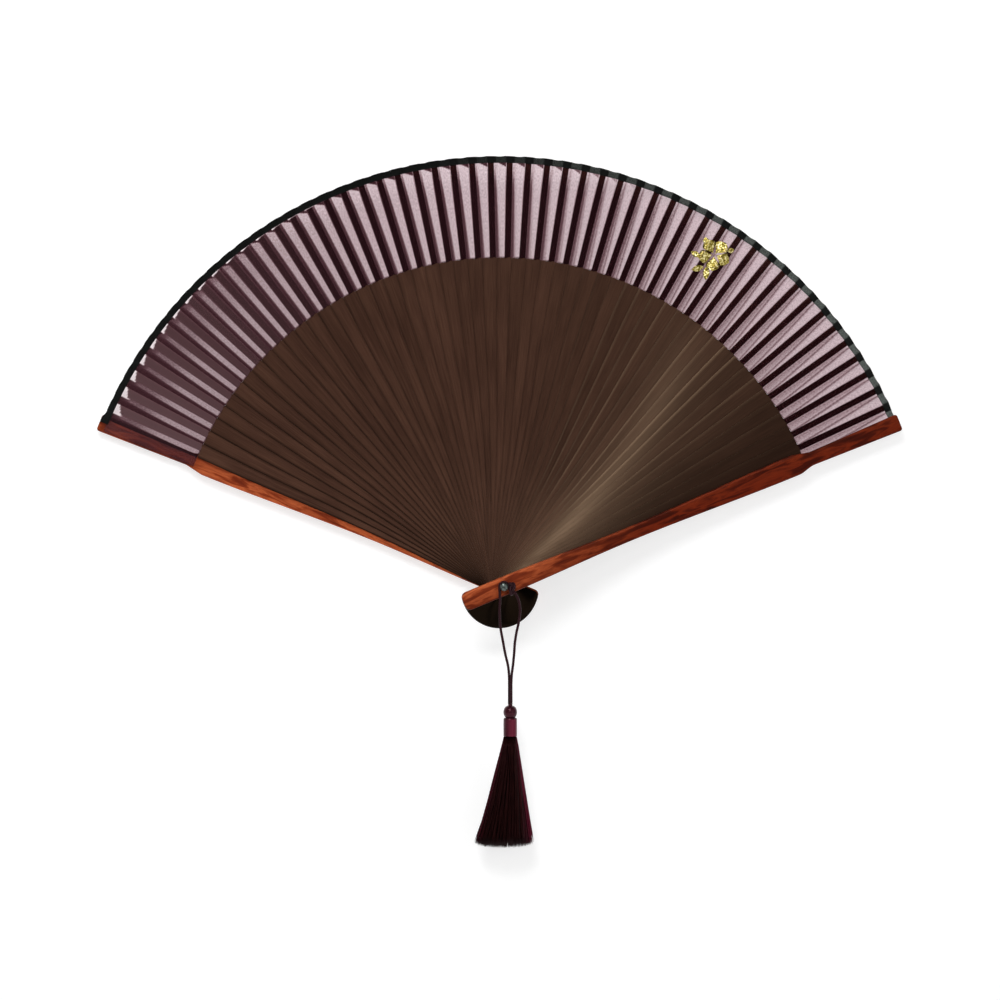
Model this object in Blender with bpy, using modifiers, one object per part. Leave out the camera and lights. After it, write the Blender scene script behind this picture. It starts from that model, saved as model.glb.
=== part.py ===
"""Folding hand fan, open, with a pleated silk leaf and a tassel.

The fan stands upright in the XZ plane and is seen from -Y. The origin is on the
rivet's axis, half way through the stack of sticks. The front guard lies at the
right end of the open fan and nearest the viewer, the back guard at the left end
and furthest away, and each rib between them sits one pitch deeper than the last.
"""

import math

import bmesh
import bpy
from mathutils import Matrix, Vector

# Opening
OPENING_ANGLE = math.radians(135.5)
INNER_RIBS = 52

# Sticks: the outline that ribs and guards share, seen along the rivet
HEAD_REACH = 0.0194
HEAD_WIDTH = 0.0083
HEAD_CORNER = 0.0024
HEAD_CUT_STEPS = 2
HEAD_CORNER_STEPS = 2
WAIST_RADIUS = 0.060
WAIST_WIDTH = 0.0061
SHOULDER_HEIGHT = 0.0047
BLADE_WIDTH = 0.0094
SIDE_SHARES = (0.0, 0.45, 1.0)
FLARE_SHARES = (0.3, 0.5, 0.75, 1.0)

# Ribs
RIB_THICKNESS = 0.0004
RIB_GAP = 0.0001
SLIP_WIDTH = 0.0030
SLIP_TIP_WIDTH = 0.0030
SLIP_THICKNESS = 0.00024
SLIP_SETBACK = 0.0006
SLIP_TILT = math.radians(20.0)
TILT_START = 0.0002
TILT_END = 0.0018

# Guards
GUARD_THICKNESS = 0.0025
GUARD_GAP = 0.0001
GUARD_RADIUS = 0.1937
GUARD_TIP_WIDTH = 0.0078
GUARD_TIP_CORNER = 0.0012
GUARD_CORNER_STEPS = 3
GUARD_SLIM_WIDTH = 0.0062
OGEE_LENGTH = 0.0080
OGEE_SHARES = (0.25, 0.5, 0.75, 1.0)
RELIEF_DEPTH = 0.0012
GUARD_ROUNDING = 0.0006
GUARD_ROUNDING_STEPS = 2
GUARD_CUT_RADII_SHARES = (0.35, 0.60)

# Silk leaf and its binding
LEAF_SETBACK = 0.0039
LEAF_WIDTH = 0.0426
LEAF_CLEARANCE = 0.0003
LEAF_THICKNESS = 0.00012
LEAF_STANDOFF = 0.00006
LEAF_RADIAL_STEPS = 1
PANEL_SHARE = 0.5
END_PANEL_SHARE = 1.5
BINDING_GAP = 0.0001
BINDING_WIDTH = 0.0029
BINDING_THICKNESS = 0.00022

# Rivet
PIN_RADIUS = 0.0011
PIN_CLEARANCE = 0.0001
HOLE_SIDES = 12
RIVET_STEPS = 16
RIVET_HEAD_RADIUS = 0.0019
RIVET_HEAD_HEIGHT = 0.0009
RIVET_RIM = 0.0003
RIVET_SEAT_GAP = 0.0001
WASHER_THICKNESS = 0.0004
DOME_STEPS = 4

# Tassel cord, a loop round the rivet's neck
CORD_DIAMETER = 0.0012
CORD_SEAT_GAP = 0.0003
CORD_CURVE_STEPS = 12
CORD_POINT_STEP = 0.0024
CORD_SIDES_RESOLUTION = 2

# Tassel
CAP_SHIFT = 0.0028
CAP_DROP = 0.0531
CAP_BEAD_RADIUS = 0.0030
CAP_BEAD_HEIGHT = 0.0055
CAP_BEAD_POWER = 0.7
CAP_BEAD_STEPS = 8
CAP_GROOVE_RADIUS = 0.0026
CAP_GROOVE_DROP = 0.0004
NECK_RADIUS = 0.0030
NECK_HEIGHT = 0.0082
CAP_STEPS = 16
SKIRT_GAP = 0.0002
SKIRT_LENGTH = 0.0501
SKIRT_TOP_RADIUS = 0.0030
SKIRT_HEM_RADIUS = 0.0136
SKIRT_DEPTH_SHARE = 0.62
SKIRT_SPREAD_POWER = 1.12
SKIRT_LEAN = 0.0028
SKIRT_LEAN_POWER = 1.5
SKIRT_FLUTES = 12
SKIRT_FLUTE_SHARE = 0.07
SKIRT_SIDES = 36
SKIRT_RINGS = 8

STEP_ANGLE = OPENING_ANGLE / (INNER_RIBS + 1)
PANEL_ANGLE = PANEL_SHARE * STEP_ANGLE
RIB_PITCH = RIB_THICKNESS + RIB_GAP
INNER_FACE = (INNER_RIBS * RIB_PITCH - RIB_GAP) / 2 + GUARD_GAP
OUTER_FACE = INNER_FACE + GUARD_THICKNESS
LEAF_RADIUS = GUARD_RADIUS - LEAF_SETBACK
SLIP_RADIUS = LEAF_RADIUS - SLIP_SETBACK
BLADE_RADIUS = LEAF_RADIUS - LEAF_WIDTH
SHOULDER_RADIUS = BLADE_RADIUS - SHOULDER_HEIGHT
LEAF_START = BLADE_RADIUS + TILT_END + LEAF_CLEARANCE
TILT_RISE = math.tan(SLIP_TILT)

MODEL = bpy.data.collections.new("folding_fan")
CUTTERS = bpy.data.collections.new("cutters")


def clear_scene():
    for item in list(bpy.data.objects):
        bpy.data.objects.remove(item, do_unlink=True)
    for collection in (MODEL, CUTTERS):
        bpy.context.scene.collection.children.link(collection)


def make_material(name, colour, roughness, metallic=0.0):
    material = bpy.data.materials.new(name)
    material.use_nodes = True
    shader = material.node_tree.nodes["Principled BSDF"]
    shader.inputs["Base Color"].default_value = (*colour, 1.0)
    shader.inputs["Roughness"].default_value = roughness
    shader.inputs["Metallic"].default_value = metallic
    return material


def add_part(name, mesh, material, smooth_angle=None):
    part = bpy.data.objects.new(name, mesh)
    MODEL.objects.link(part)
    if not mesh.materials:
        mesh.materials.append(material)
    if smooth_angle is not None:
        mesh.shade_smooth()
        mesh.set_sharp_from_angle(angle=smooth_angle)
    return part


def fan_turn(index):
    """Turn about the rivet of the stick with this place in the fan, counted from the front guard."""
    return OPENING_ANGLE / 2 - index * STEP_ANGLE


def rib_depth(index):
    """Y of the middle of an inner rib."""
    return (index - (INNER_RIBS + 1) / 2) * RIB_PITCH


def smoothstep(share):
    return share * share * (3.0 - 2.0 * share)


def mix(start, end, share):
    return start + (end - start) * share


def arc(centre, radius, start, end, steps):
    """Points on an arc, both ends included; angles run from +X towards +Y."""
    angles = [mix(start, end, k / steps) for k in range(steps + 1)]
    return [centre + radius * Vector((math.cos(a), math.sin(a))) for a in angles]


def fillet(before, corner, after, radius, steps):
    """Points that round a corner with an arc tangent to both of its sides."""
    to_before = (before - corner).normalized()
    to_after = (after - corner).normalized()
    half_angle = to_before.angle(to_after) / 2
    centre = corner + (to_before + to_after).normalized() * radius / math.sin(half_angle)
    reach = radius / math.tan(half_angle)
    start, end = corner + to_before * reach - centre, corner + to_after * reach - centre
    first = math.atan2(start.y, start.x)
    turn = math.remainder(math.atan2(end.y, end.x) - first, math.tau)
    return arc(centre, radius, first, first + turn, steps)


def side_points():
    """Right side of a stick from the pivot to the shoulder: narrow to the waist, then flaring."""
    down = [
        Vector((mix(HEAD_WIDTH, WAIST_WIDTH, smoothstep(s)) / 2, s * WAIST_RADIUS))
        for s in SIDE_SHARES
    ]
    flare = SHOULDER_RADIUS - WAIST_RADIUS
    up = [
        Vector((mix(WAIST_WIDTH, BLADE_WIDTH, smoothstep(s)) / 2, WAIST_RADIUS + s * flare))
        for s in FLARE_SHARES
    ]
    return down + up


def head_points(side):
    """Right half of a stick's head, cut to an arc about the rivet, with a rounded corner."""
    corner_turn = math.asin(HEAD_WIDTH / 2 / HEAD_REACH)
    down = -math.pi / 2
    cut = arc(Vector((0, 0)), HEAD_REACH, down, down + corner_turn, HEAD_CUT_STEPS)
    return cut[:-1] + fillet(cut[-2], cut[-1], side[0], HEAD_CORNER, HEAD_CORNER_STEPS)


def mirrored(points):
    """The same points on the left, in reverse order, without any on the centre line."""
    return [Vector((-p.x, p.y)) for p in reversed(points) if abs(p.x) > PIN_CLEARANCE]


def rib_outline():
    side = side_points()
    blade_top = [
        Vector((width / 2, math.sqrt(BLADE_RADIUS**2 - width**2 / 4)))
        for width in (BLADE_WIDTH, SLIP_WIDTH)
    ]
    slip = [Vector((SLIP_TIP_WIDTH / 2, SLIP_RADIUS))]
    right = head_points(side) + side + blade_top + slip
    return right + mirrored(right)


def guard_outline():
    """Guard outline: its right side steps in with an ogee above the shoulder, its left tapers."""
    side = side_points()
    tip = Vector((GUARD_TIP_WIDTH / 2, math.sqrt(GUARD_RADIUS**2 - GUARD_TIP_WIDTH**2 / 4)))
    slim = GUARD_SLIM_WIDTH / 2
    drop = BLADE_WIDTH / 2 - slim
    ogee = [
        Vector((BLADE_WIDTH / 2 - drop * smoothstep(s), SHOULDER_RADIUS + s * OGEE_LENGTH))
        for s in OGEE_SHARES
    ]
    top = Vector((0, GUARD_RADIUS))
    corner = fillet(ogee[-1], tip, top, GUARD_TIP_CORNER, GUARD_CORNER_STEPS)
    head = head_points(side)
    right = head + side + ogee + corner
    left_slim = Vector((slim, SHOULDER_RADIUS + OGEE_LENGTH))
    left = head + side + [left_slim] + corner
    return right + [top] + mirrored(left)


def hole_outline():
    """Rivet hole whose flat sides clear the pin all round."""
    radius = (PIN_RADIUS + PIN_CLEARANCE) / math.cos(math.pi / HOLE_SIDES)
    turns = [math.tau * k / HOLE_SIDES for k in range(HOLE_SIDES)]
    return [radius * Vector((math.cos(a), math.sin(a))) for a in turns]


def plate(name, outlines, thickness):
    """A flat stick cut from outlines in the XZ plane: a filled 2D curve, made a mesh."""
    curve = bpy.data.curves.new(name, "CURVE")
    curve.dimensions = "2D"
    curve.fill_mode = "BOTH"
    curve.extrude = thickness / 2
    for outline in outlines:
        spline = curve.splines.new("POLY")
        spline.points.add(len(outline) - 1)
        for point, place in zip(spline.points, outline, strict=True):
            point.co = (place.x, place.y, 0.0, 1.0)
        spline.use_cyclic_u = True
    return curve_to_mesh(name, curve, Matrix.Rotation(math.pi / 2, 4, "X"))


def curve_to_mesh(name, curve, turn=None):
    """The mesh of a curve with its caps welded, turned if asked."""
    carrier = bpy.data.objects.new(name, curve)
    MODEL.objects.link(carrier)
    evaluated = carrier.evaluated_get(bpy.context.evaluated_depsgraph_get())
    mesh = bpy.data.meshes.new_from_object(evaluated)
    bpy.data.objects.remove(carrier, do_unlink=True)
    bpy.data.curves.remove(curve)
    mesh.name = name
    cage = bmesh.new()
    cage.from_mesh(mesh)
    bmesh.ops.remove_doubles(cage, verts=cage.verts, dist=RIB_GAP / 10)
    if turn is not None:
        bmesh.ops.transform(cage, matrix=turn, verts=cage.verts)
    bmesh.ops.recalc_face_normals(cage, faces=cage.faces)
    cage.to_mesh(mesh)
    cage.free()
    return mesh


def cut_across(mesh, radii):
    """Add edge loops across a stick at the given distances from the rivet."""
    cage = bmesh.new()
    cage.from_mesh(mesh)
    for radius in radii:
        everything = cage.verts[:] + cage.edges[:] + cage.faces[:]
        bmesh.ops.bisect_plane(
            cage, geom=everything, plane_co=(0, 0, radius), plane_no=(0, 0, 1)
        )
    cage.to_mesh(mesh)
    cage.free()


def rib_mesh():
    """One rib: a flat blade, and above it a thinner slip that leans back to follow its pleat."""
    mesh = plate("rib", [rib_outline(), hole_outline()], RIB_THICKNESS)
    tilt_start = BLADE_RADIUS + TILT_START
    tilt_end = BLADE_RADIUS + TILT_END
    cut_across(mesh, (tilt_start, tilt_end))
    for vertex in mesh.vertices:
        share = min(max((vertex.co.z - tilt_start) / (tilt_end - tilt_start), 0.0), 1.0)
        vertex.co.y *= mix(1.0, SLIP_THICKNESS / RIB_THICKNESS, share)
        if share > 0.0:
            vertex.co = Matrix.Rotation(SLIP_TILT * share, 3, "Z") @ vertex.co
    return mesh


def add_ribs(material):
    mesh = rib_mesh()
    for index in range(1, INNER_RIBS + 1):
        rib = add_part(f"rib_{index:02d}", mesh, material)
        rib.location.y = rib_depth(index)
        rib.rotation_euler.y = fan_turn(index)


def relief_cutter(name, inward):
    """Block that thins a guard's inner face where the leaf folds against it."""
    length = GUARD_RADIUS - BLADE_RADIUS
    cage = bmesh.new()
    bmesh.ops.create_cube(cage, size=1.0)
    size = Matrix.Diagonal((2 * BLADE_WIDTH, 2 * RELIEF_DEPTH, 2 * length, 1.0))
    start = BLADE_RADIUS + TILT_START / 2
    place = Matrix.Translation((0, inward * GUARD_THICKNESS / 2, start + length))
    bmesh.ops.transform(cage, matrix=place @ size, verts=cage.verts)
    mesh = bpy.data.meshes.new(name)
    cage.to_mesh(mesh)
    cage.free()
    cutter = bpy.data.objects.new(name, mesh)
    CUTTERS.objects.link(cutter)
    cutter.hide_render = True
    cutter.display_type = "WIRE"
    return cutter


def guard_mesh(name, inward):
    """A guard with its outer long edges rounded over; inward is the Y side that faces the ribs."""
    mesh = plate(name, [guard_outline(), hole_outline()], GUARD_THICKNESS)
    cage = bmesh.new()
    cage.from_mesh(mesh)
    outer = -inward * GUARD_THICKNESS / 2
    bmesh.ops.dissolve_limit(
        cage, angle_limit=math.radians(1), verts=cage.verts, edges=cage.edges
    )
    hole_reach = PIN_RADIUS + 2 * PIN_CLEARANCE
    rim = [
        edge
        for edge in cage.edges
        if all(abs(v.co.y - outer) < GUARD_GAP for v in edge.verts)
        and all(math.hypot(v.co.x, v.co.z) > hole_reach for v in edge.verts)
        and any(abs(face.normal.y) < abs(face.normal.xz.length) for face in edge.link_faces)
    ]
    bmesh.ops.bevel(
        cage,
        geom=rim,
        offset=GUARD_ROUNDING,
        segments=GUARD_ROUNDING_STEPS,
        profile=0.5,
        affect="EDGES",
    )
    cage.to_mesh(mesh)
    cage.free()
    cut_across(mesh, [share * BLADE_RADIUS for share in GUARD_CUT_RADII_SHARES])
    return mesh


def add_guard(name, index, inward, material):
    guard = add_part(name, guard_mesh(name, inward), material)
    guard.location.y = -inward * (INNER_FACE + GUARD_THICKNESS / 2)
    guard.rotation_euler.y = fan_turn(index)
    cutter = relief_cutter(f"{name}_relief", inward)
    cutter.parent = guard
    relief = guard.modifiers.new("leaf relief", "BOOLEAN")
    relief.operation = "DIFFERENCE"
    relief.object = cutter


def fold_lines(standoff):
    """The leaf's radial fold lines, right to left, as turn about the rivet, Y at the rivet, rise.

    Each slip carries one panel in its own tilted plane, so a fold line on it lies at
    Y + rise * radius. The panels between climb back to the next slip.
    """
    half_panel = PANEL_ANGLE / 2
    slope = math.sin(half_panel) * TILT_RISE
    face = INNER_FACE + RELIEF_DEPTH - standoff
    lines = [(fan_turn(0) + half_panel, -face, 0.0), (fan_turn(0) - half_panel, -face, 0.0)]
    offset = (SLIP_THICKNESS / 2 + standoff) / math.cos(SLIP_TILT)
    for index in range(1, INNER_RIBS + 1):
        front = rib_depth(index) - offset
        lines.append((fan_turn(index) + half_panel, front, slope))
        lines.append((fan_turn(index) - half_panel, front, -slope))
    last = fan_turn(INNER_RIBS + 1)
    return lines + [
        (last + half_panel, face, 0.0),
        (last - END_PANEL_SHARE * half_panel, face, 0.0),
    ]


def pleated_sheet(name, lines, radii, thickness, material):
    """A fan-shaped sheet folded along radial lines, given its thickness by Solidify."""
    cage = bmesh.new()
    rows = [
        [
            cage.verts.new((r * math.sin(turn), depth + rise * r, r * math.cos(turn)))
            for turn, depth, rise in lines
        ]
        for r in radii
    ]
    for low, high in zip(rows, rows[1:]):
        for k in range(len(lines) - 1):
            cage.faces.new((low[k + 1], low[k], high[k], high[k + 1]))
    mesh = bpy.data.meshes.new(name)
    cage.to_mesh(mesh)
    cage.free()
    sheet = add_part(name, mesh, material)
    wall = sheet.modifiers.new("thickness", "SOLIDIFY")
    wall.thickness = thickness
    wall.offset = 0.0
    return sheet


def add_leaf(silk, tape):
    """The silk leaf, and the binding that runs along its outer edge."""
    radii = [
        mix(LEAF_START, LEAF_RADIUS, k / LEAF_RADIAL_STEPS)
        for k in range(LEAF_RADIAL_STEPS + 1)
    ]
    standoff = LEAF_THICKNESS / 2 + LEAF_STANDOFF
    pleated_sheet("silk_leaf", fold_lines(standoff), radii, LEAF_THICKNESS, silk)
    start = LEAF_RADIUS + BINDING_GAP
    edge = [start, start + BINDING_WIDTH]
    standoff = BINDING_THICKNESS / 2 + LEAF_STANDOFF
    pleated_sheet("edge_binding", fold_lines(standoff), edge, BINDING_THICKNESS, tape)


def turned(name, profile, steps, material):
    """A turned solid: a profile of (radius, height) points, top to bottom, with Screw."""
    cage = bmesh.new()
    points = [cage.verts.new((radius, 0, height)) for radius, height in profile]
    for above, below in zip(points, points[1:]):
        cage.edges.new((above, below))
    mesh = bpy.data.meshes.new(name)
    cage.to_mesh(mesh)
    cage.free()
    part = add_part(name, mesh, material)
    screw = part.modifiers.new("turning", "SCREW")
    screw.steps = steps
    screw.render_steps = steps
    screw.use_merge_vertices = True
    screw.merge_threshold = RIB_GAP / 10
    screw.use_smooth_shade = True
    return part


def dome(radius, height, base, upward):
    """Profile of a domed head from its crown on the axis to its rim, or back, for Screw."""
    turns = [math.pi / 2 * k / DOME_STEPS for k in range(DOME_STEPS + 1)]
    points = [(radius * math.sin(a), base + upward * height * math.cos(a)) for a in turns]
    return points if upward > 0 else points[::-1]


def rivet_profile():
    """From the front dome, past the cord's neck and the washer, through the stack to the back."""
    seat = OUTER_FACE + RIVET_SEAT_GAP
    washer = seat + WASHER_THICKNESS
    neck = washer + CORD_DIAMETER + 2 * CORD_SEAT_GAP
    front_rim = neck + RIVET_RIM
    back_rim = -seat - RIVET_RIM
    return (
        dome(RIVET_HEAD_RADIUS, RIVET_HEAD_HEIGHT, front_rim, 1)
        + [(RIVET_HEAD_RADIUS, neck), (PIN_RADIUS, neck)]
        + [(PIN_RADIUS, washer), (RIVET_HEAD_RADIUS, washer), (RIVET_HEAD_RADIUS, seat)]
        + [(PIN_RADIUS, seat), (PIN_RADIUS, -seat), (RIVET_HEAD_RADIUS, -seat)]
        + dome(RIVET_HEAD_RADIUS, RIVET_HEAD_HEIGHT, back_rim, -1)
    )


def add_rivet(material):
    rivet = turned("rivet", rivet_profile(), RIVET_STEPS, material)
    rivet.rotation_euler.x = math.pi / 2


def cord_depth():
    """Y of the cord's centre line, in the middle of the rivet's neck."""
    washer = OUTER_FACE + RIVET_SEAT_GAP + WASHER_THICKNESS
    return -(washer + CORD_SEAT_GAP + CORD_DIAMETER / 2)


def cord_route():
    """Route of the cord: up the left strand, over the rivet's neck and down the right one.

    A point is its place across, its place behind the middle of the neck, and its height.
    Below the join the left strand lies behind the right one.
    """
    loop = PIN_RADIUS + CORD_SEAT_GAP + CORD_DIAMETER / 2
    over = [
        (loop * math.cos(a), 0.0, loop * math.sin(a))
        for a in (math.pi, math.pi * 0.75, math.pi / 2, math.pi * 0.25, 0.0)
    ]
    left = [
        (0.0024, 0.0005, -0.0528),
        (0.0024, 0.0005, -0.0485),
        (0.0024, 0.0005, -0.0435),
        (0.0023, 0.0005, -0.0395),
        (0.0018, 0.0003, -0.0352),
        (0.0005, 0.0, -0.0297),
        (-0.0005, 0.0, -0.0243),
        (-0.0016, 0.0, -0.0180),
        (-0.0020, 0.0, -0.0115),
        (-0.0018, 0.0, -0.0055),
    ]
    right = [
        (0.0033, 0.0, -0.0014),
        (0.0053, 0.0, -0.0034),
        (0.0067, 0.0, -0.0066),
        (0.0072, 0.0, -0.0106),
        (0.0066, 0.0, -0.0160),
        (0.0056, 0.0, -0.0205),
        (0.0049, 0.0, -0.0250),
        (0.0045, -0.0002, -0.0300),
        (0.0040, -0.0004, -0.0350),
        (0.0034, -0.0005, -0.0395),
        (0.0032, -0.0005, -0.0435),
        (0.0032, -0.0005, -0.0485),
        (0.0032, -0.0005, -0.0528),
    ]
    middle = Vector((0, cord_depth(), 0))
    return [Vector(point) + middle for point in left + over + right]


def smooth_route(points, spacing):
    """Points about one spacing apart on a centripetal curve through the route's own points."""
    ends = [2 * points[0] - points[1]] + points + [2 * points[-1] - points[-2]]
    fine = []
    for p0, p1, p2, p3 in zip(ends, ends[1:], ends[2:], ends[3:]):
        for k in range(CORD_CURVE_STEPS):
            fine.append(spline_point((p0, p1, p2, p3), k / CORD_CURVE_STEPS))
    fine.append(points[-1])
    lengths = [0.0]
    for a, b in zip(fine, fine[1:]):
        lengths.append(lengths[-1] + (b - a).length)
    count = max(2, round(lengths[-1] / spacing))
    route, k = [], 0
    for n in range(count + 1):
        goal = lengths[-1] * n / count
        while k < len(fine) - 2 and lengths[k + 1] < goal:
            k += 1
        share = (goal - lengths[k]) / (lengths[k + 1] - lengths[k])
        route.append(fine[k].lerp(fine[k + 1], share))
    return route


def spline_point(four, share):
    """A point between the middle two of four points, on the Catmull-Rom curve through them."""
    p0, p1, p2, p3 = four
    s2, s3 = share * share, share**3
    return (
        p0 * (-s3 + 2 * s2 - share)
        + p1 * (3 * s3 - 5 * s2 + 2)
        + p2 * (-3 * s3 + 4 * s2 + share)
        + p3 * (s3 - s2)
    ) / 2


def add_cord(material):
    curve = bpy.data.curves.new("tassel_cord", "CURVE")
    curve.dimensions = "3D"
    curve.bevel_depth = CORD_DIAMETER / 2
    curve.bevel_resolution = CORD_SIDES_RESOLUTION
    curve.use_fill_caps = True
    route = smooth_route(cord_route(), CORD_POINT_STEP)
    spline = curve.splines.new("POLY")
    spline.points.add(len(route) - 1)
    for point, place in zip(spline.points, route, strict=True):
        point.co = (*place, 1.0)
    add_part("tassel_cord", curve_to_mesh("tassel_cord", curve), material, math.radians(60))


def cap_place(drop):
    """Place in the tassel at that drop below the top of its cap."""
    return Vector((CAP_SHIFT, cord_depth(), -CAP_DROP - drop))


def add_cap(material):
    """The bead-shaped top of the tassel, a groove below it and the bound neck."""
    waist = -CAP_BEAD_HEIGHT
    bead = [
        (CAP_BEAD_RADIUS * math.sin(a) ** CAP_BEAD_POWER, waist / 2 * (1 - math.cos(a)))
        for a in [math.pi * k / CAP_BEAD_STEPS for k in range(CAP_BEAD_STEPS - 1)]
    ]
    profile = bead + [
        (CAP_GROOVE_RADIUS, waist),
        (NECK_RADIUS, waist - CAP_GROOVE_DROP),
        (NECK_RADIUS, waist - NECK_HEIGHT),
        (0.0, waist - NECK_HEIGHT),
    ]
    cap = turned("tassel_cap", profile, CAP_STEPS, material)
    cap.location = cap_place(0.0)


def skirt_ring(share):
    """One level of the skirt: an oval that widens downwards and grows flutes towards the hem."""
    spread = share**SKIRT_SPREAD_POWER
    lean = SKIRT_LEAN * share**SKIRT_LEAN_POWER
    wide = mix(SKIRT_TOP_RADIUS, SKIRT_HEM_RADIUS, spread)
    deep = wide * mix(1.0, SKIRT_DEPTH_SHARE, spread)
    ring = []
    for k in range(SKIRT_SIDES):
        a = math.tau * k / SKIRT_SIDES
        ripple = 1.0 + SKIRT_FLUTE_SHARE * share * math.cos(SKIRT_FLUTES * a)
        ring.append(
            Vector(
                (
                    wide * ripple * math.cos(a) - lean,
                    deep * ripple * math.sin(a),
                    -share * SKIRT_LENGTH,
                )
            )
        )
    return ring


def add_skirt(material):
    """The tassel's threads as one fluted form, lofted from the round neck to the fluted hem."""
    cage = bmesh.new()
    rings = [
        [cage.verts.new(place) for place in skirt_ring(n / SKIRT_RINGS)]
        for n in range(SKIRT_RINGS + 1)
    ]
    for above, below in zip(rings, rings[1:]):
        for k in range(SKIRT_SIDES):
            after = (k + 1) % SKIRT_SIDES
            cage.faces.new((above[k], below[k], below[after], above[after]))
    cage.faces.new(rings[0])
    cage.faces.new(reversed(rings[-1]))
    mesh = bpy.data.meshes.new("tassel_skirt")
    cage.to_mesh(mesh)
    cage.free()
    skirt = add_part("tassel_skirt", mesh, material, math.radians(40))
    skirt.location = cap_place(CAP_BEAD_HEIGHT + NECK_HEIGHT + SKIRT_GAP)


def main():
    clear_scene()
    bamboo = make_material("dyed_bamboo", (0.052, 0.028, 0.017), 0.42)
    rosewood = make_material("rosewood", (0.24, 0.035, 0.012), 0.35)
    silk = make_material("maroon_silk", (0.12, 0.04, 0.05), 0.6)
    tape = make_material("black_tape", (0.008, 0.009, 0.008), 0.5)
    metal = make_material("gunmetal", (0.05, 0.05, 0.055), 0.3, metallic=1.0)
    thread = make_material("maroon_thread", (0.035, 0.006, 0.012), 0.55)
    add_ribs(bamboo)
    add_guard("front_guard", 0, 1, rosewood)
    add_guard("back_guard", INNER_RIBS + 1, -1, rosewood)
    add_leaf(silk, tape)
    add_rivet(metal)
    add_cord(thread)
    add_cap(thread)
    add_skirt(thread)


main()
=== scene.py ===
"""Looks of an open folding fan: dyed bamboo ribs, rosewood guards, pleated maroon silk, a tassel.

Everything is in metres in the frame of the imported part. The fan stands in the XZ plane and is
seen from -Y. The origin is on the rivet's axis, half way through the stack of sticks. A turn is
an angle about the rivet from +Z towards +X, so it is positive on the right.
"""

import math
from functools import partial

import bmesh
import bpy
import numpy as np
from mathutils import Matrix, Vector


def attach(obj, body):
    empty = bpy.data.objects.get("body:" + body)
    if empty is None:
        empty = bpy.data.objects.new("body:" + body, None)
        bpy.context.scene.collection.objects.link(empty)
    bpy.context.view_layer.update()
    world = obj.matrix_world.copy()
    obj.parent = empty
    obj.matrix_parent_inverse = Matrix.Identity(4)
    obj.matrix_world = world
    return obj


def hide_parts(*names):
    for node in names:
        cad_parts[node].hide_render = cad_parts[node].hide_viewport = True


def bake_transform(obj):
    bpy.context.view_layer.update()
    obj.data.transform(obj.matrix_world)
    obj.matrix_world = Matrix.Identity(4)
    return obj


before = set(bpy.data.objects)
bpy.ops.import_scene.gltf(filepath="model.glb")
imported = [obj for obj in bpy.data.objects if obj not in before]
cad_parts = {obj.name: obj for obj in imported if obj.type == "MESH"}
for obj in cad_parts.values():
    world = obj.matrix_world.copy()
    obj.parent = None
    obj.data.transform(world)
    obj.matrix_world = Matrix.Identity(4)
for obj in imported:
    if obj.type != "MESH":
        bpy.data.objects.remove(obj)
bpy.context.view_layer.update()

MM = 0.001

# The stack, as in the part's source
OPENING_ANGLE = math.radians(135.5)
INNER_RIBS = 52
STEP_ANGLE = OPENING_ANGLE / (INNER_RIBS + 1)
RIB_THICKNESS = 0.4 * MM
RIB_PITCH = 0.5 * MM
GUARD_THICKNESS = 2.5 * MM
INNER_FACE = 13.05 * MM
OUTER_FACE = INNER_FACE + GUARD_THICKNESS

# Outline of the sticks
HEAD_REACH = 19.4 * MM
HEAD_WIDTH = 8.3 * MM
HEAD_CORNER = 2.4 * MM
WAIST_RADIUS = 60 * MM
WAIST_WIDTH = 6.1 * MM
SHOULDER_RADIUS = 142.5 * MM
BLADE_RADIUS = 147.2 * MM
BLADE_WIDTH = 9.4 * MM
BLADE_CORNER = 0.5 * MM
RIB_ROUNDING = 0.108 * MM
RIB_COLUMNS = 9
SLIP_WIDTH = 3.0 * MM
SLIP_THICKNESS = 0.24 * MM
SLIP_RADIUS = 190.1 * MM
SLIP_TILT = math.radians(20)
TILT_START = BLADE_RADIUS + 0.05 * MM
TILT_END = BLADE_RADIUS + 0.45 * MM
LEFT_TIP_SLANT = 0.15 / MM
# Width of the painted shadow along each rib's sides
EDGE_SHADE = 0.8 * MM

# Outline of the guards
GUARD_RADIUS = 193.7 * MM
GUARD_TIP_WIDTH = 7.8 * MM
GUARD_TIP_CORNER = 1.2 * MM
GUARD_SLIM_WIDTH = 6.2 * MM
OGEE_LENGTH = 8.0 * MM
RELIEF_DEPTH = 1.2 * MM
RELIEF_START = BLADE_RADIUS + 0.1 * MM
GUARD_ROUNDING = 0.7 * MM
GUARD_COLUMNS = 15

# Leaf and binding
LEAF_START = 147.21 * MM
LEAF_RADIUS = 190.6 * MM
LEAF_THICKNESS = 0.10 * MM
LEAF_STANDOFF = 0.06 * MM
LEAF_BILLOW = 0.06 * MM
LEAF_ROWS = 17
PANEL_COLUMNS = 6
OPEN_COLUMNS = 14
BINDING_START = 189.75 * MM
BINDING_END = 192.8 * MM
BINDING_SCALLOP = 0.22 * MM
BINDING_RISE = 0.8 * MM
BINDING_THICKNESS = 0.22 * MM

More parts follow.
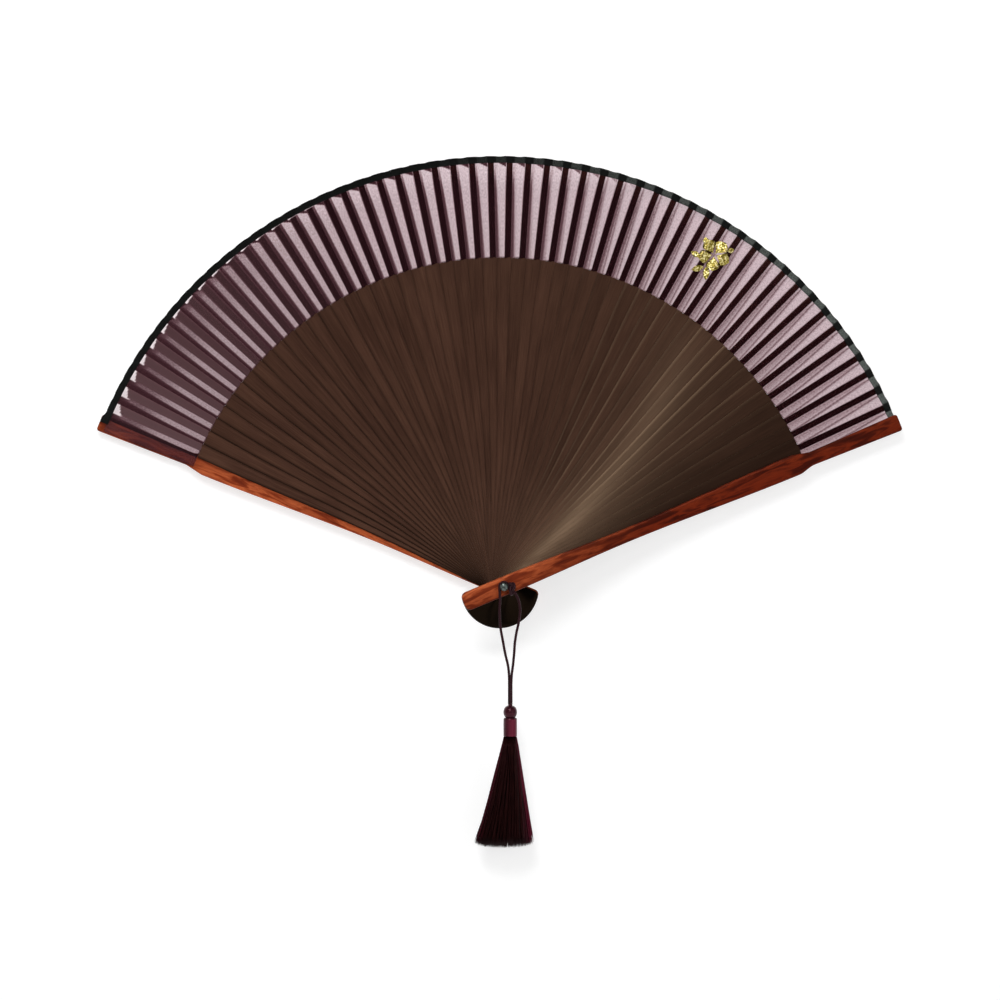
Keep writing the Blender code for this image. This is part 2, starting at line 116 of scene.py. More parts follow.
# Rivet, cord and tassel
PIN_RADIUS = 1.1 * MM
RIVET_HEAD_RADIUS = 1.9 * MM
RIVET_HEAD_HEIGHT = 0.9 * MM
RIVET_RIM = 0.3 * MM
SEAT = OUTER_FACE + 0.1 * MM
WASHER_FACE = SEAT + 0.4 * MM
CORD_DIAMETER = 1.2 * MM
CORD_SEAT_GAP = 0.3 * MM
NECK_FACE = WASHER_FACE + CORD_DIAMETER + 2 * CORD_SEAT_GAP
CORD_DEPTH = -(WASHER_FACE + CORD_SEAT_GAP + CORD_DIAMETER / 2)
CAP_TOP = (2.8 * MM, CORD_DEPTH, -53.1 * MM)
CAP_BEAD_RADIUS = 3.0 * MM
CAP_BEAD_HEIGHT = 5.5 * MM
NECK_RADIUS = 3.0 * MM
NECK_HEIGHT = 8.2 * MM
SKIRT_LENGTH = 50.1 * MM
SKIRT_HEM_RADIUS = 13.6 * MM
SKIRT_DEPTH_SHARE = 0.62
SKIRT_LEAN = 2.8 * MM

RNG = np.random.default_rng(54)


def add_object(name, data):
    made = bpy.data.objects.new(name, data)
    bpy.context.scene.collection.objects.link(made)
    return made


# Camera

VIEW_AZIMUTH = math.radians(5.7)
VIEW_ELEVATION = math.radians(1.2)
VIEW_DISTANCE = 2.0
VIEW_TARGET = Vector((-0.0001, 0, 0.0383))
SENSOR_WIDTH = 36.0
FOCAL_PIXELS = 4447.0
FRAME_PIXELS = 1000


def add_camera():
    """The photograph's view: long lens, a little to the left of square on and a little above."""
    data = bpy.data.cameras.new("camera")
    data.sensor_width = SENSOR_WIDTH
    data.lens = SENSOR_WIDTH * FOCAL_PIXELS / FRAME_PIXELS
    camera = add_object("camera", data)
    flat = math.cos(VIEW_ELEVATION)
    away = Vector((
        -math.sin(VIEW_AZIMUTH) * flat,
        -math.cos(VIEW_AZIMUTH) * flat,
        math.sin(VIEW_ELEVATION),
    ))
    camera.location = VIEW_TARGET + VIEW_DISTANCE * away
    camera.rotation_euler = away.to_track_quat("Z", "Y").to_euler()
    bpy.context.scene.camera = camera


add_camera()


# Meshes from arrays

def smoothstep(x):
    x = np.clip(x, 0.0, 1.0)
    return x * x * (3.0 - 2.0 * x)


def mix(start, end, share):
    return start + (end - start) * share


def join(*axes):
    """Arrays broadcast to one shape and stacked as the last axis."""
    return np.stack(np.broadcast_arrays(*axes), -1)


def steps(points):
    return np.linalg.norm(np.diff(points, axis=0), axis=1)


def run_along(points):
    """Distance run along a route at each of its points."""
    return np.concatenate([[0.0], np.cumsum(steps(points))])


def quads(rows, columns, around=False):
    """Corner numbers of the quads of a grid; around joins its last column to its first."""
    row = np.arange(rows - 1)[:, None] * columns
    column = np.arange(columns if around else columns - 1)
    after = (column + 1) % columns
    corners = join(row + column, row + after, row + columns + after, row + columns + column)
    return corners.reshape(-1, 4)


def surface(name, points, around=False, uv=None, values=None, sharp=math.radians(40), closed=True):
    """A mesh object over one grid, or over a stack of equal grids, of points.

    points is (rows, columns, 3) or (grids, rows, columns, 3). uv is a last axis of two, and
    values maps attribute names to one number a point; both are broadcast to the grids. A closed
    shape gets the doubles at its poles and seams merged and its normals turned outwards.
    """
    if points.ndim == 3:
        points = points[None]
    grids, rows, columns = points.shape[:3]
    first = np.arange(grids)[:, None, None] * rows * columns
    faces = (first + quads(rows, columns, around)).reshape(-1, 4)
    mesh = bpy.data.meshes.new(name)
    mesh.from_pydata(points.reshape(-1, 3).tolist(), [], faces.tolist())
    if uv is not None:
        layer = mesh.uv_layers.new(name="grain")
        spread = np.broadcast_to(uv, (*points.shape[:3], 2)).reshape(-1, 2)
        layer.data.foreach_set("uv", spread[faces.ravel()].ravel().astype(np.float32))
    for key, value in (values or {}).items():
        attribute = mesh.attributes.new(key, "FLOAT", "POINT")
        spread = np.broadcast_to(value, points.shape[:3]).ravel()
        attribute.data.foreach_set("value", spread.astype(np.float32))
    if closed:
        cage = bmesh.new()
        cage.from_mesh(mesh)
        bmesh.ops.remove_doubles(cage, verts=cage.verts, dist=1e-7)
        bmesh.ops.recalc_face_normals(cage, faces=cage.faces)
        cage.to_mesh(mesh)
        cage.free()
    mesh.shade_smooth()
    mesh.set_sharp_from_angle(angle=sharp)
    return add_object(name, mesh)


def thicken(piece, name, thickness):
    """A wall round the sheet, half of it on each side."""
    wall = piece.modifiers.new(name, "SOLIDIFY")
    wall.thickness = thickness
    wall.offset = 0.0


def dress(piece, material, body, slot, *nodes):
    """Material, body, record slot and the CAD nodes that the piece stands for. The record slot is
    not used.
    """
    piece.data.materials.append(material)
    if body:
        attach(piece, body)
    if nodes:
        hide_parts(*nodes)


def turned(name, profile, centre, axis, sides, ripple=None, values=None):
    """A surface of revolution: profile's (radius, height) points carried round the axis.

    ripple is a function of height and turn that is added to the radius. axis is 1 for Y,
    where height grows towards -Y, or 2 for Z, where height grows upwards.
    """
    profile = np.array(profile)
    radius, height = profile[:, :1], profile[:, 1:]
    turns = np.linspace(0, math.tau, sides, endpoint=False)
    rim = radius + 0 * turns
    if ripple is not None:
        rim = rim + ripple(height, turns[None, :]) * (radius > 0)
    x, other = rim * np.cos(turns), rim * np.sin(turns)
    points = (join(x, -height, other) if axis == 1 else join(x, other, height)) + np.array(centre)
    uv = join(turns / math.tau, run_along(profile)[:, None])
    return surface(name, points, around=True, uv=uv, values=values)


# Cord

SPLINE_STEPS = 24
CORD_STEP = 0.25 * MM
CORD_LAY = 2.4 * MM
PLY_VALLEY = 0.86
PLY_SWELL = 0.20


def spline_through(points, spacing):
    """Evenly spaced points on the Catmull-Rom curve through the given ones.

    Between two points the curve is the cubic whose end tangents are half the step from the
    point before to the point after.
    """
    points = np.array(points, float)
    ends = np.vstack([2 * points[0] - points[1], points, 2 * points[-1] - points[-2]])
    share = np.linspace(0, 1, SPLINE_STEPS, endpoint=False)[:, None]
    p0, p1, p2, p3 = (ends[k : len(ends) - 3 + k, None, :] for k in range(4))
    fine = (
        p0 * (-(share**3) + 2 * share**2 - share)
        + p1 * (3 * share**3 - 5 * share**2 + 2)
        + p2 * (-3 * share**3 + 4 * share**2 + share)
        + p3 * (share**3 - share**2)
    ) / 2
    fine = np.vstack([fine.reshape(-1, 3), points[-1]])
    run = run_along(fine)
    count = max(2, round(run[-1] / spacing))
    goal = np.linspace(0, run[-1], count + 1)
    return np.stack([np.interp(goal, run, fine[:, k]) for k in range(3)], -1)


def cord_route():
    """Up the left strand, over the rivet's neck and down the right one, as in the part.

    Below the join the left strand lies behind the right one.
    """
    loop = PIN_RADIUS + CORD_SEAT_GAP + CORD_DIAMETER / 2
    turns = np.radians([180, 135, 90, 45, 0])
    over = join(loop * np.cos(turns), 0.0, loop * np.sin(turns))
    left = [
        (0.0024, 0.0005, -0.0528), (0.0024, 0.0005, -0.0485), (0.0024, 0.0005, -0.0435),
        (0.0023, 0.0005, -0.0395), (0.0018, 0.0003, -0.0352), (0.0005, 0.0, -0.0297),
        (-0.0005, 0.0, -0.0243), (-0.0016, 0.0, -0.0180), (-0.0020, 0.0, -0.0115),
        (-0.0018, 0.0, -0.0055),
    ]
    right = [
        (0.0033, 0.0, -0.0014), (0.0053, 0.0, -0.0034), (0.0067, 0.0, -0.0066),
        (0.0072, 0.0, -0.0106), (0.0066, 0.0, -0.0160), (0.0056, 0.0, -0.0205),
        (0.0049, 0.0, -0.0250), (0.0045, -0.0002, -0.0300), (0.0040, -0.0004, -0.0350),
        (0.0034, -0.0005, -0.0395), (0.0032, -0.0005, -0.0435), (0.0032, -0.0005, -0.0485),
        (0.0032, -0.0005, -0.0528),
    ]
    return np.vstack([left, over, right]) + np.array((0.0, CORD_DEPTH, 0.0))


def plied_cord(name, path, sides, closed_loop=False):
    """The three-ply cord along a path, twisted one turn each lay.

    A ring is the path's point plus radius times (cos a, sin a) on two directions square to the
    path. The radius swells and dips as the absolute cosine of 1.5 times the angle less the
    twist, so that each ply is a round lobe.
    """
    ahead = np.gradient(path, axis=0)
    ahead /= np.linalg.norm(ahead, axis=1, keepdims=True)
    reference = np.array((0.0, 1.0, 0.0))
    if np.abs(ahead @ reference).max() > 0.95:
        reference = np.array((0.3, 0.2, 0.93))
    side = np.cross(ahead, reference)
    side /= np.linalg.norm(side, axis=1, keepdims=True)
    other = np.cross(ahead, side)
    along = run_along(path)[:, None]
    turns = np.linspace(0, math.tau, sides, endpoint=False)
    lobes = np.abs(np.cos(1.5 * (turns - math.tau * along / CORD_LAY)))
    rim = CORD_DIAMETER / 2 * (PLY_VALLEY + PLY_SWELL * lobes)
    x, z = (rim * np.cos(turns))[..., None], (rim * np.sin(turns))[..., None]
    rings = path[:, None] + x * side[:, None] + z * other[:, None]
    if not closed_loop:
        start, end = (place + 0 * rings[:1] for place in (path[:1, None], path[-1:, None]))
        rings = np.concatenate([start, rings, end])
        along = np.concatenate([along[:1], along, along[-1:]])
    return surface(name, rings, around=True, uv=join(turns / math.tau, along))


CORD_PATH = spline_through(cord_route(), CORD_STEP)
cord = plied_cord("tassel_loop", CORD_PATH, 14)


# Materials

def linear(code):
    """A six-digit sRGB hex colour as linear RGBA."""
    values = np.array([int(code[k : k + 2], 16) for k in (0, 2, 4)]) / 255
    curved = np.where(values <= 0.04045, values / 12.92, ((values + 0.055) / 1.055) ** 2.4)
    return (*curved.tolist(), 1.0)


# The Mix node's colours, by the numbers of its sockets
MIX_A, MIX_B, MIXED = 6, 7, 2


def add_node(tree, kind, output=None, inputs=None, stops=(), **settings):
    """One node, or one output of it: settings are its properties, inputs values or sockets.

    stops are a colour ramp's (place, hex) pairs.
    """
    made = tree.nodes.new("ShaderNode" + kind)
    for key, value in settings.items():
        setattr(made, key, value)
    for socket, value in (inputs or {}).items():
        if isinstance(value, bpy.types.NodeSocket):
            tree.links.new(value, made.inputs[socket])
        else:
            made.inputs[socket].default_value = value
    if stops:
        elements = made.color_ramp.elements
        while len(elements) < len(stops):
            elements.new(0.5)
        for element, (place, code) in zip(elements, stops):
            element.position = place
            element.color = linear(code)
    return made if output is None else made.outputs[output]


def fill_tree(owner, output, look, *values):
    """Gives a material or world the nodes that look adds, and look's result as its surface."""
    owner.use_nodes = True
    owner.node_tree.nodes.clear()
    node = partial(add_node, owner.node_tree)
    node(output, None, {"Surface": look(node, *values)})


# How many grains a stick's pattern moves on for each unit of its tone
BAMBOO_JUMP = 97.0
ROSEWOOD_JUMP = 31.0


def make_material(name, look, *values):
    material = bpy.data.materials.new(name)
    fill_tree(material, "OutputMaterial", look, *values)
    return material


def grain(node, across, along, detail, jump=0.0, **inputs):
    """Noise stretched over a piece's UV to grains of that size, moved on by jump times its tone."""
    place = node("UVMap", "UV", uv_map="grain")
    place = node("Mapping", "Vector", {"Vector": place, "Scale": (1 / across, 1 / along, 1.0)})
    if jump:
        tone = node("Attribute", "Fac", attribute_name="tone")
        shift = {0: tone, 1: (jump, jump, jump), 2: place}
        place = node("VectorMath", "Vector", shift, operation="MULTIPLY_ADD")
    return node("TexNoise", "Fac", {"Vector": place, "Scale": 1.0, "Detail": detail, **inputs})


def dyed_bamboo(node):
    """Bamboo, dyed dark brown, planed and lacquered thin: straight fibres, silky sheen across."""
    # Bamboo's fibre bundles are about 0.35 mm wide and run the length of a node
    fibre = grain(node, 0.35 * MM, 16 * MM, 5.0, BAMBOO_JUMP, Roughness=0.6)
    cloud = grain(node, 7 * MM, 38 * MM, 2.0, BAMBOO_JUMP)
    wood = node(
        "ValToRGB", "Color", {"Fac": fibre},
        stops=((0.28, "281914"), (0.5, "3E2922"), (0.72, "51382D")),
    )
    warm = node("ValToRGB", "Color", {"Fac": cloud}, stops=((0.35, "38241B"), (0.65, "4D3428")))
    mixed = node("Mix", MIXED, {"Factor": 0.45, MIX_A: wood, MIX_B: warm}, data_type="RGBA")
    level, painted_sheen, edge = (
        node("Attribute", "Fac", attribute_name=name) for name in ("level", "painted_sheen", "edge")
    )
    # Each rib's level, raised near the rivet by painted sheen
    shade = node("VectorMath", "Vector", {0: mixed, "Scale": level}, operation="SCALE")
    # Paler by painted sheen of the lacquer and by painted highlights on the ribs' edges
    shade = node(
        "Mix", MIXED, {"Factor": painted_sheen, MIX_A: shade, MIX_B: linear("8A725C")}, data_type="RGBA"
    )
    # Darker along the sides: painted shadow where the ribs overlap
    shade = node(
        "Mix", MIXED, {"Factor": edge, MIX_A: shade, MIX_B: linear("0C0705")}, data_type="RGBA"
    )
    along = node("SeparateXYZ", "Y", {"Vector": node("UVMap", "UV", uv_map="grain")})
    # The heads are dipped in black lacquer up to the rivet
    bare = node("MapRange", "Result", {"Value": along, "From Min": -1.5 * MM, "From Max": 2.0 * MM})
    colour = node(
        "Mix", MIXED, {"Factor": bare, MIX_A: linear("070605"), MIX_B: shade}, data_type="RGBA"
    )
    rough = node("MapRange", "Result", {"Value": bare, "To Min": 0.14, "To Max": 0.36})
    relief = node("Bump", "Normal", {"Height": fibre, "Strength": 0.35, "Distance": 0.05 * MM})
    tangent = node("Tangent", "Tangent", direction_type="UV_MAP", uv_map="grain")
    return node("BsdfPrincipled", "BSDF", {
        "Base Color": colour, "Roughness": rough, "Normal": relief, "Tangent": tangent,
        "Anisotropic": 0.85, "IOR": 1.5, "Specular IOR Level": 0.11,
        "Specular Tint": linear("E0B088"),
    })


def rosewood(node):
    """Rosewood, carved and rubbed with red varnish: dark pores and a soft shine.

    amber is 1 where the wood shows orange; across the front guard it is painted light, that guard's
    upper side lighter.
    """
    figure = grain(node, 2.6 * MM, 17 * MM, 4.0, ROSEWOOD_JUMP, Distortion=0.6)
    # Rosewood's pores are about 0.2 mm wide and a few millimetres long
    pores = grain(node, 0.22 * MM, 3.2 * MM, 3.0, ROSEWOOD_JUMP)
    body, light = (
        node(
            "ValToRGB", "Color", {"Fac": figure},
            stops=tuple(zip((0.3, 0.44, 0.55, 0.66, 0.8), codes)),
        )
        for codes in (
            ("280604", "400C05", "681C08", "4A1006", "320804"),
            ("6A2614", "8C381C", "C46238", "9E4828", "722A16"),
        )
    )
    amber_and_light = node("Attribute", "Fac", attribute_name="amber_and_light")
    body = node("Mix", MIXED, {"Factor": amber_and_light, MIX_A: body, MIX_B: light}, data_type="RGBA")
    dark = node("MapRange", "Result", {"Value": pores, "From Min": 0.6, "From Max": 0.72})
    weak = node("Math", 0, {0: dark, 1: 0.55}, operation="MULTIPLY")
    colour = node(
        "Mix", MIXED, {"Factor": weak, MIX_A: body, MIX_B: linear("3A0E08")}, data_type="RGBA"
    )
    rough = node("MapRange", "Result", {"Value": pores, "To Min": 0.3, "To Max": 0.46})
    relief = node("Bump", "Normal", {"Height": figure, "Strength": 0.25, "Distance": 0.1 * MM})
    return node("BsdfPrincipled", "BSDF", {
        "Base Color": colour, "Roughness": rough, "Normal": relief, "IOR": 1.5,
        "Specular IOR Level": 0.16, "Specular Tint": linear("FFB498"),
    })


def woven_silk(node):
    """Maroon silk gauze: light comes through it, darker where it lies double, its threads fine.

    folded is 0 for one layer and 1 where folds lie over each other, and carries painted shade as
    well;
    clear is 1 where only the thin ground shows, and bloom is painted sheen of threads that face the
    light.
    """
    folds_and_shade, bloom, clear = (
        node("Attribute", "Fac", attribute_name=name) for name in ("folds_and_shade", "bloom", "clear")
    )
    # Gauze threads are some 0.1 mm apart; drawn at 0.5 mm so that they show
    weave = grain(node, 0.5 * MM, 1 * MM, 2.0)
    slub = node("MapRange", "Result", {
        "Value": weave, "From Min": 0.3, "From Max": 0.7, "To Min": -0.09, "To Max": 0.09,
    })
    layered = node("Math", 0, {0: folds_and_shade, 1: slub}, operation="ADD", use_clamp=True)
    # One wall of the sheet passes the square root of what the whole sheet passes
    tint = node(
        "ValToRGB", "Color", {"Fac": layered},
        stops=((0.0, "F1E7EA"), (0.25, "DACCCF"), (0.5, "B09A9F"), (1.0, "785C63")),
    )
    pale = node(
        "Mix", MIXED, {"Factor": clear, MIX_A: tint, MIX_B: linear("FCF6F7")}, data_type="RGBA"
    )
    through = node("BsdfTransparent", "BSDF", {"Color": pale})
    # Thread colour, paler by painted sheen
    colour = node(
        "Mix", MIXED, {"Factor": bloom, MIX_A: linear("521F2C"), MIX_B: linear("8E686C")},
        data_type="RGBA",
    )
    relief = node("Bump", "Normal", {"Height": weave, "Strength": 0.3, "Distance": 0.05 * MM})
    threads = node("BsdfPrincipled", "BSDF", {
        "Base Color": colour, "Roughness": 0.55, "Normal": relief, "Sheen Weight": 0.25,
        "Sheen Roughness": 0.4, "IOR": 1.45, "Specular IOR Level": 0.35,
    })
    # More of its threads show where the silk lies double, in painted shade and in painted sheen
    double = node("Math", 0, {0: folds_and_shade, 1: 0.5, 2: bloom}, operation="MULTIPLY_ADD")
    cover = node("MapRange", "Result", {"Value": double, "To Min": 0.04, "To Max": 0.38})
    return node("MixShader", "Shader", {0: cover, 1: through, 2: threads})


def glazed_tape(node):
    """Black cotton tape, glazed and folded over the edge: near black, grey where it shines."""
    # The tape's weft ribs are about 0.4 mm apart
    weave = grain(node, 0.4 * MM, 0.9 * MM, 3.0)
    black, grey = (
        node("ValToRGB", "Color", {"Fac": weave}, stops=((0.35, dark), (0.65, light)))
        for dark, light in (("040504", "0C0E0C"), ("3A3E3B", "626763"))
    )
    # Grey where the tape shines: a painted highlight
    painted_shine = node("Attribute", "Fac", attribute_name="painted_shine")
    colour = node("Mix", MIXED, {"Factor": painted_shine, MIX_A: black, MIX_B: grey}, data_type="RGBA")
    relief = node("Bump", "Normal", {"Height": weave, "Strength": 0.5, "Distance": 0.06 * MM})
    return node("BsdfPrincipled", "BSDF", {
        "Base Color": colour, "Roughness": 0.48, "Normal": relief, "IOR": 1.5,
        "Specular IOR Level": 0.1,
    })


def blued_steel(node):
    """Steel rivet, turned and blued: grey metal, mottled dark and pale."""
    mottled = node("TexNoise", "Fac", {
        "Vector": node("TexCoord", "Object"), "Scale": 1 / (0.9 * MM), "Detail": 3.0,
    })
    colour = node("ValToRGB", "Color", {"Fac": mottled}, stops=((0.35, "2C302E"), (0.65, "6E7672")))
    rough = node("MapRange", "Result", {"Value": mottled, "To Min": 0.22, "To Max": 0.42})
    return node("BsdfPrincipled", "BSDF", {
        "Base Color": colour, "Metallic": 1.0, "Roughness": rough,
    })


def spun_thread(node, dark, light, grain_mm, gloss, roughness):
    """Rayon thread, spun and dyed: deep colour, bright along each strand where light grazes it.

    wine is 1 for redder strands; on the cap's neck it is a painted highlight at its front right,
    and on the skirt painted sheen at its right edge and left fringe.
    """
    # Nine bundles of fibres go round a cord, and this UV's first number is in whole turns
    fibres = grain(node, 1 / 9, grain_mm * MM, 3.0)
    colour = node("ValToRGB", "Color", {"Fac": fibres}, stops=((0.32, dark), (0.68, light)))
    wine_and_sheen = node("Attribute", "Fac", attribute_name="wine_and_sheen")
    colour = node(
        "Mix", MIXED, {"Factor": wine_and_sheen, MIX_A: colour, MIX_B: linear("64182E")}, data_type="RGBA"
    )
    relief = node("Bump", "Normal", {"Height": fibres, "Strength": 0.5, "Distance": 0.05 * MM})
    return node("BsdfPrincipled", "BSDF", {
        "Base Color": colour, "Roughness": roughness, "Normal": relief, "IOR": 1.5,
        "Specular IOR Level": gloss, "Specular Tint": linear("F0A8B4"),
    })


def gold_leaf(node):
    """Gold foil pressed on the silk: bright metal, crinkled by the weave under it."""
    crinkle = node("TexNoise", "Fac", {
        "Vector": node("TexCoord", "Object"), "Scale": 1 / (0.8 * MM), "Detail": 4.0,
    })
    colour = node(
        "ValToRGB", "Color", {"Fac": crinkle},
        stops=((0.36, "4A4016"), (0.52, "B09E48"), (0.64, "FFF4BC")),
    )
    relief = node("Bump", "Normal", {"Height": crinkle, "Strength": 1.0, "Distance": 0.35 * MM})
    return node("BsdfPrincipled", "BSDF", {
        "Base Color": colour, "Metallic": 1.0, "Roughness": 0.32, "Normal": relief,
    })


BAMBOO = make_material("dyed_bamboo", dyed_bamboo)
ROSEWOOD = make_material("varnished_rosewood", rosewood)
SILK = make_material("woven_silk", woven_silk)
TAPE = make_material("glazed_tape", glazed_tape)
STEEL = make_material("blued_steel", blued_steel)
CORD_THREAD, CAP_THREAD, SKIRT_THREAD = (
    make_material(name, spun_thread, *values)
    for name, *values in (
        ("plied_cord_thread", "180A0C", "341F25", 0.5, 0.2, 0.42),
        ("wound_maroon_thread", "16040A", "3C0E1C", 0.6, 0.45, 0.3),
        ("hanging_maroon_thread", "120505", "28100F", 7, 0.08, 0.42),
    )
)
GOLD = make_material("pressed_gold_foil", gold_leaf)

dress(cord, CORD_THREAD, "tassel", "thread", "tassel_cord")


# Sticks

def fan_turn(index):
    """Turn of a stick by its place, counted from the front guard at 0 to the back guard at 53."""
    return OPENING_ANGLE / 2 - index * STEP_ANGLE


def rib_depth(index):
    return (index - (INNER_RIBS + 1) / 2) * RIB_PITCH


def side_half_width(along):
    """Half width of any stick: narrow to the waist, flared to the shoulder, then even."""
    down = mix(HEAD_WIDTH, WAIST_WIDTH, smoothstep(along / WAIST_RADIUS))
    flare = (along - WAIST_RADIUS) / (SHOULDER_RADIUS - WAIST_RADIUS)
    up = mix(WAIST_WIDTH, BLADE_WIDTH, smoothstep(flare))
    return np.where(along < WAIST_RADIUS, down, up) / 2


def corner_cut(along, half, reach, corner, sign):
    """half, drawn in where a stick ends in an arc of that reach about the rivet.

    Past the corner's start the width follows a quarter circle of radius corner, and beyond
    the place where that meets the arc it is the arc's own half chord.
    """
    reach_along = sign * along
    meet = math.sqrt(reach**2 - (float(np.max(half)) - corner) ** 2)
    inside = np.clip(meet - reach_along, 0, corner)
    rounded = half - corner + np.sqrt(corner**2 - (corner - inside) ** 2)
    chord = np.sqrt(np.clip(reach**2 - along**2, 0, None))
    return np.where(reach_along > meet, np.minimum(chord, half - corner), rounded)


def end_rows(reach, half, corner, count):
    """Places along a stick near an arc end, close together where the outline turns quickly."""
    meet = math.sqrt(reach**2 - (half - corner) ** 2)
    bend = np.linspace(0, math.pi / 2, count)
    arc = mix(reach, meet, np.sin(bend) ** 2)[:-1]
    return np.concatenate([arc, meet - corner * (1 - np.cos(bend))])


def edge_drop(distance, radius):
    """How far a rounded edge lies below the flat at that distance in from the rim."""
    inner = radius - np.clip(distance, 0, radius)
    return radius - np.sqrt(radius**2 - inner**2)


def stick_rings(along, left, right, front, back, rounding, columns, reaches, round_back=False):
    """Rings of a stick in its own frame: across its front from left to right, then its back.

    A point's across is a share of the half width, and its height is the face's less the
    rounding for its distance to the nearest side or end. The ends are arcs of those reaches.
    """
    along, left, right, front, back = (row[:, None] for row in (along, left, right, front, back))
    share = np.sin(np.linspace(-1, 1, columns) * math.pi / 2)
    half = np.where(share < 0, left, right)
    across = share * half
    end = np.where(along < 0, *reaches) - np.hypot(across, along)
    drop = edge_drop(np.minimum((1 - np.abs(share)) * half, end), rounding)
    height = np.hstack([drop - front, (back - drop * round_back)[:, ::-1]])
    return join(np.hstack([across, across[:, ::-1]]), height, along)


def place_stick(rings, turn, depth):
    """Stick rings turned about the rivet's axis and set at their depth."""
    x, y, z = np.moveaxis(rings, -1, 0)
    cosine, sine = math.cos(turn), math.sin(turn)
    return join(x * cosine + z * sine, y + depth, z * cosine - x * sine)


def rib_rings(tip, slant):
    """One rib: arc-cut head, waist, flared blade, and a slip that leans, its tip cut at a slant.

    Returns its rings, their grain (across and along the stick) and how near its sides they are.
    """
    head = -end_rows(HEAD_REACH, HEAD_WIDTH / 2, HEAD_CORNER, 5)
    middle = np.linspace(head[-1] + 2 * MM, SHOULDER_RADIUS, 18)
    top = end_rows(BLADE_RADIUS, BLADE_WIDTH / 2, BLADE_CORNER, 4)[::-1]
    top = top[top > SHOULDER_RADIUS + 1 * MM]
    slip = np.concatenate([
        [BLADE_RADIUS + 0.01 * MM, TILT_START],
        np.linspace(TILT_START, TILT_END, 5)[1:],
        np.linspace(TILT_END, tip, 5)[1:],
    ])
    stick = np.concatenate([head, middle, top])
    half = side_half_width(stick)
    half = np.where(stick < 0, corner_cut(stick, half, HEAD_REACH, HEAD_CORNER, -1), half)
    crown = corner_cut(stick, half, BLADE_RADIUS, BLADE_CORNER, 1)
    half = np.where(stick > SHOULDER_RADIUS, np.maximum(crown, SLIP_WIDTH / 2), half)
    along = np.concatenate([stick, slip, slip[-1:]])
    half = np.concatenate([half, np.full(len(slip), SLIP_WIDTH / 2), [0.0]])
    lean = np.clip((along - TILT_START) / (TILT_END - TILT_START), 0, 1)
    thick = mix(RIB_THICKNESS, SLIP_THICKNESS, lean) / 2
    # The slip's end is square, so it has no reach to be rounded at
    x, y, z = np.moveaxis(stick_rings(
        along, half, half, thick, thick, RIB_ROUNDING, RIB_COLUMNS, (HEAD_REACH, math.inf),
        round_back=True,
    ), -1, 0)
    angle = SLIP_TILT * lean[:, None]
    across, deep = x * np.cos(angle) - y * np.sin(angle), x * np.sin(angle) + y * np.cos(angle)
    z[-2:] += slant * across[-2:]
    inset = half[:, None] - np.abs(x)
    return join(across, deep, z), join(x, along[:, None]), smoothstep(1 - inset / EDGE_SHADE)


def slip_tip(index):
    """The slips near the back guard stop short of the binding, by less and less higher up."""
    short = np.interp(
        np.degrees(fan_turn(index)), (-68, -64, -59, -54, -49, -40, -27, -20),
        (3.7, 2.9, 2.1, 1.6, 1.3, 0.9, 0.6, 0.0),
    )
    return SLIP_RADIUS - short * MM


def tip_slant(index):
    """Rise of a short slip's tip for each metre towards its clockwise side."""
    return LEFT_TIP_SLANT * (SLIP_RADIUS - slip_tip(index))


def painted_rib_sheen(turn, across, along):
    """Painted sheen on the ribs: how pale they are and how much lighter, by place on the open fan.

    The pale band is painted sheen of the lacquer. It is a narrow bell over
    the angle, along a line that bends from 47.5 to 38 degrees, on a wide one. Every rib is
    lighter near the rivet by painted sheen, on the right most.
    """
    angle = np.degrees(turn + np.arctan2(across, np.maximum(along, 1 * MM)))
    reach = along / MM
    off = angle - np.interp(reach, (40, 70, 100, 140), (47.5, 45, 42, 38))
    narrow = np.interp(
        reach, (8, 25, 40, 55, 70, 110, 130, 146), (0.32, 0.40, 0.50, 0.34, 0.23, 0.20, 0.09, 0.03)
    )
    wide = np.interp(reach, (10, 40, 55, 70, 95, 146), (0.28, 0.28, 0.23, 0.17, 0.09, 0.04))
    painted_sheen = narrow * np.exp(-((off / 3.8) ** 2)) + wide * np.exp(-(((off - 2) / 13) ** 2))
    near = np.interp(angle, (-60, -20, 0, 12, 24, 42), (0.16, 0.12, 0.17, 0.25, 0.35, 0.50))
    near = near * np.exp(-((reach / 38) ** 2))
    return painted_sheen + 0.45 * near, 1 + 2.6 * near


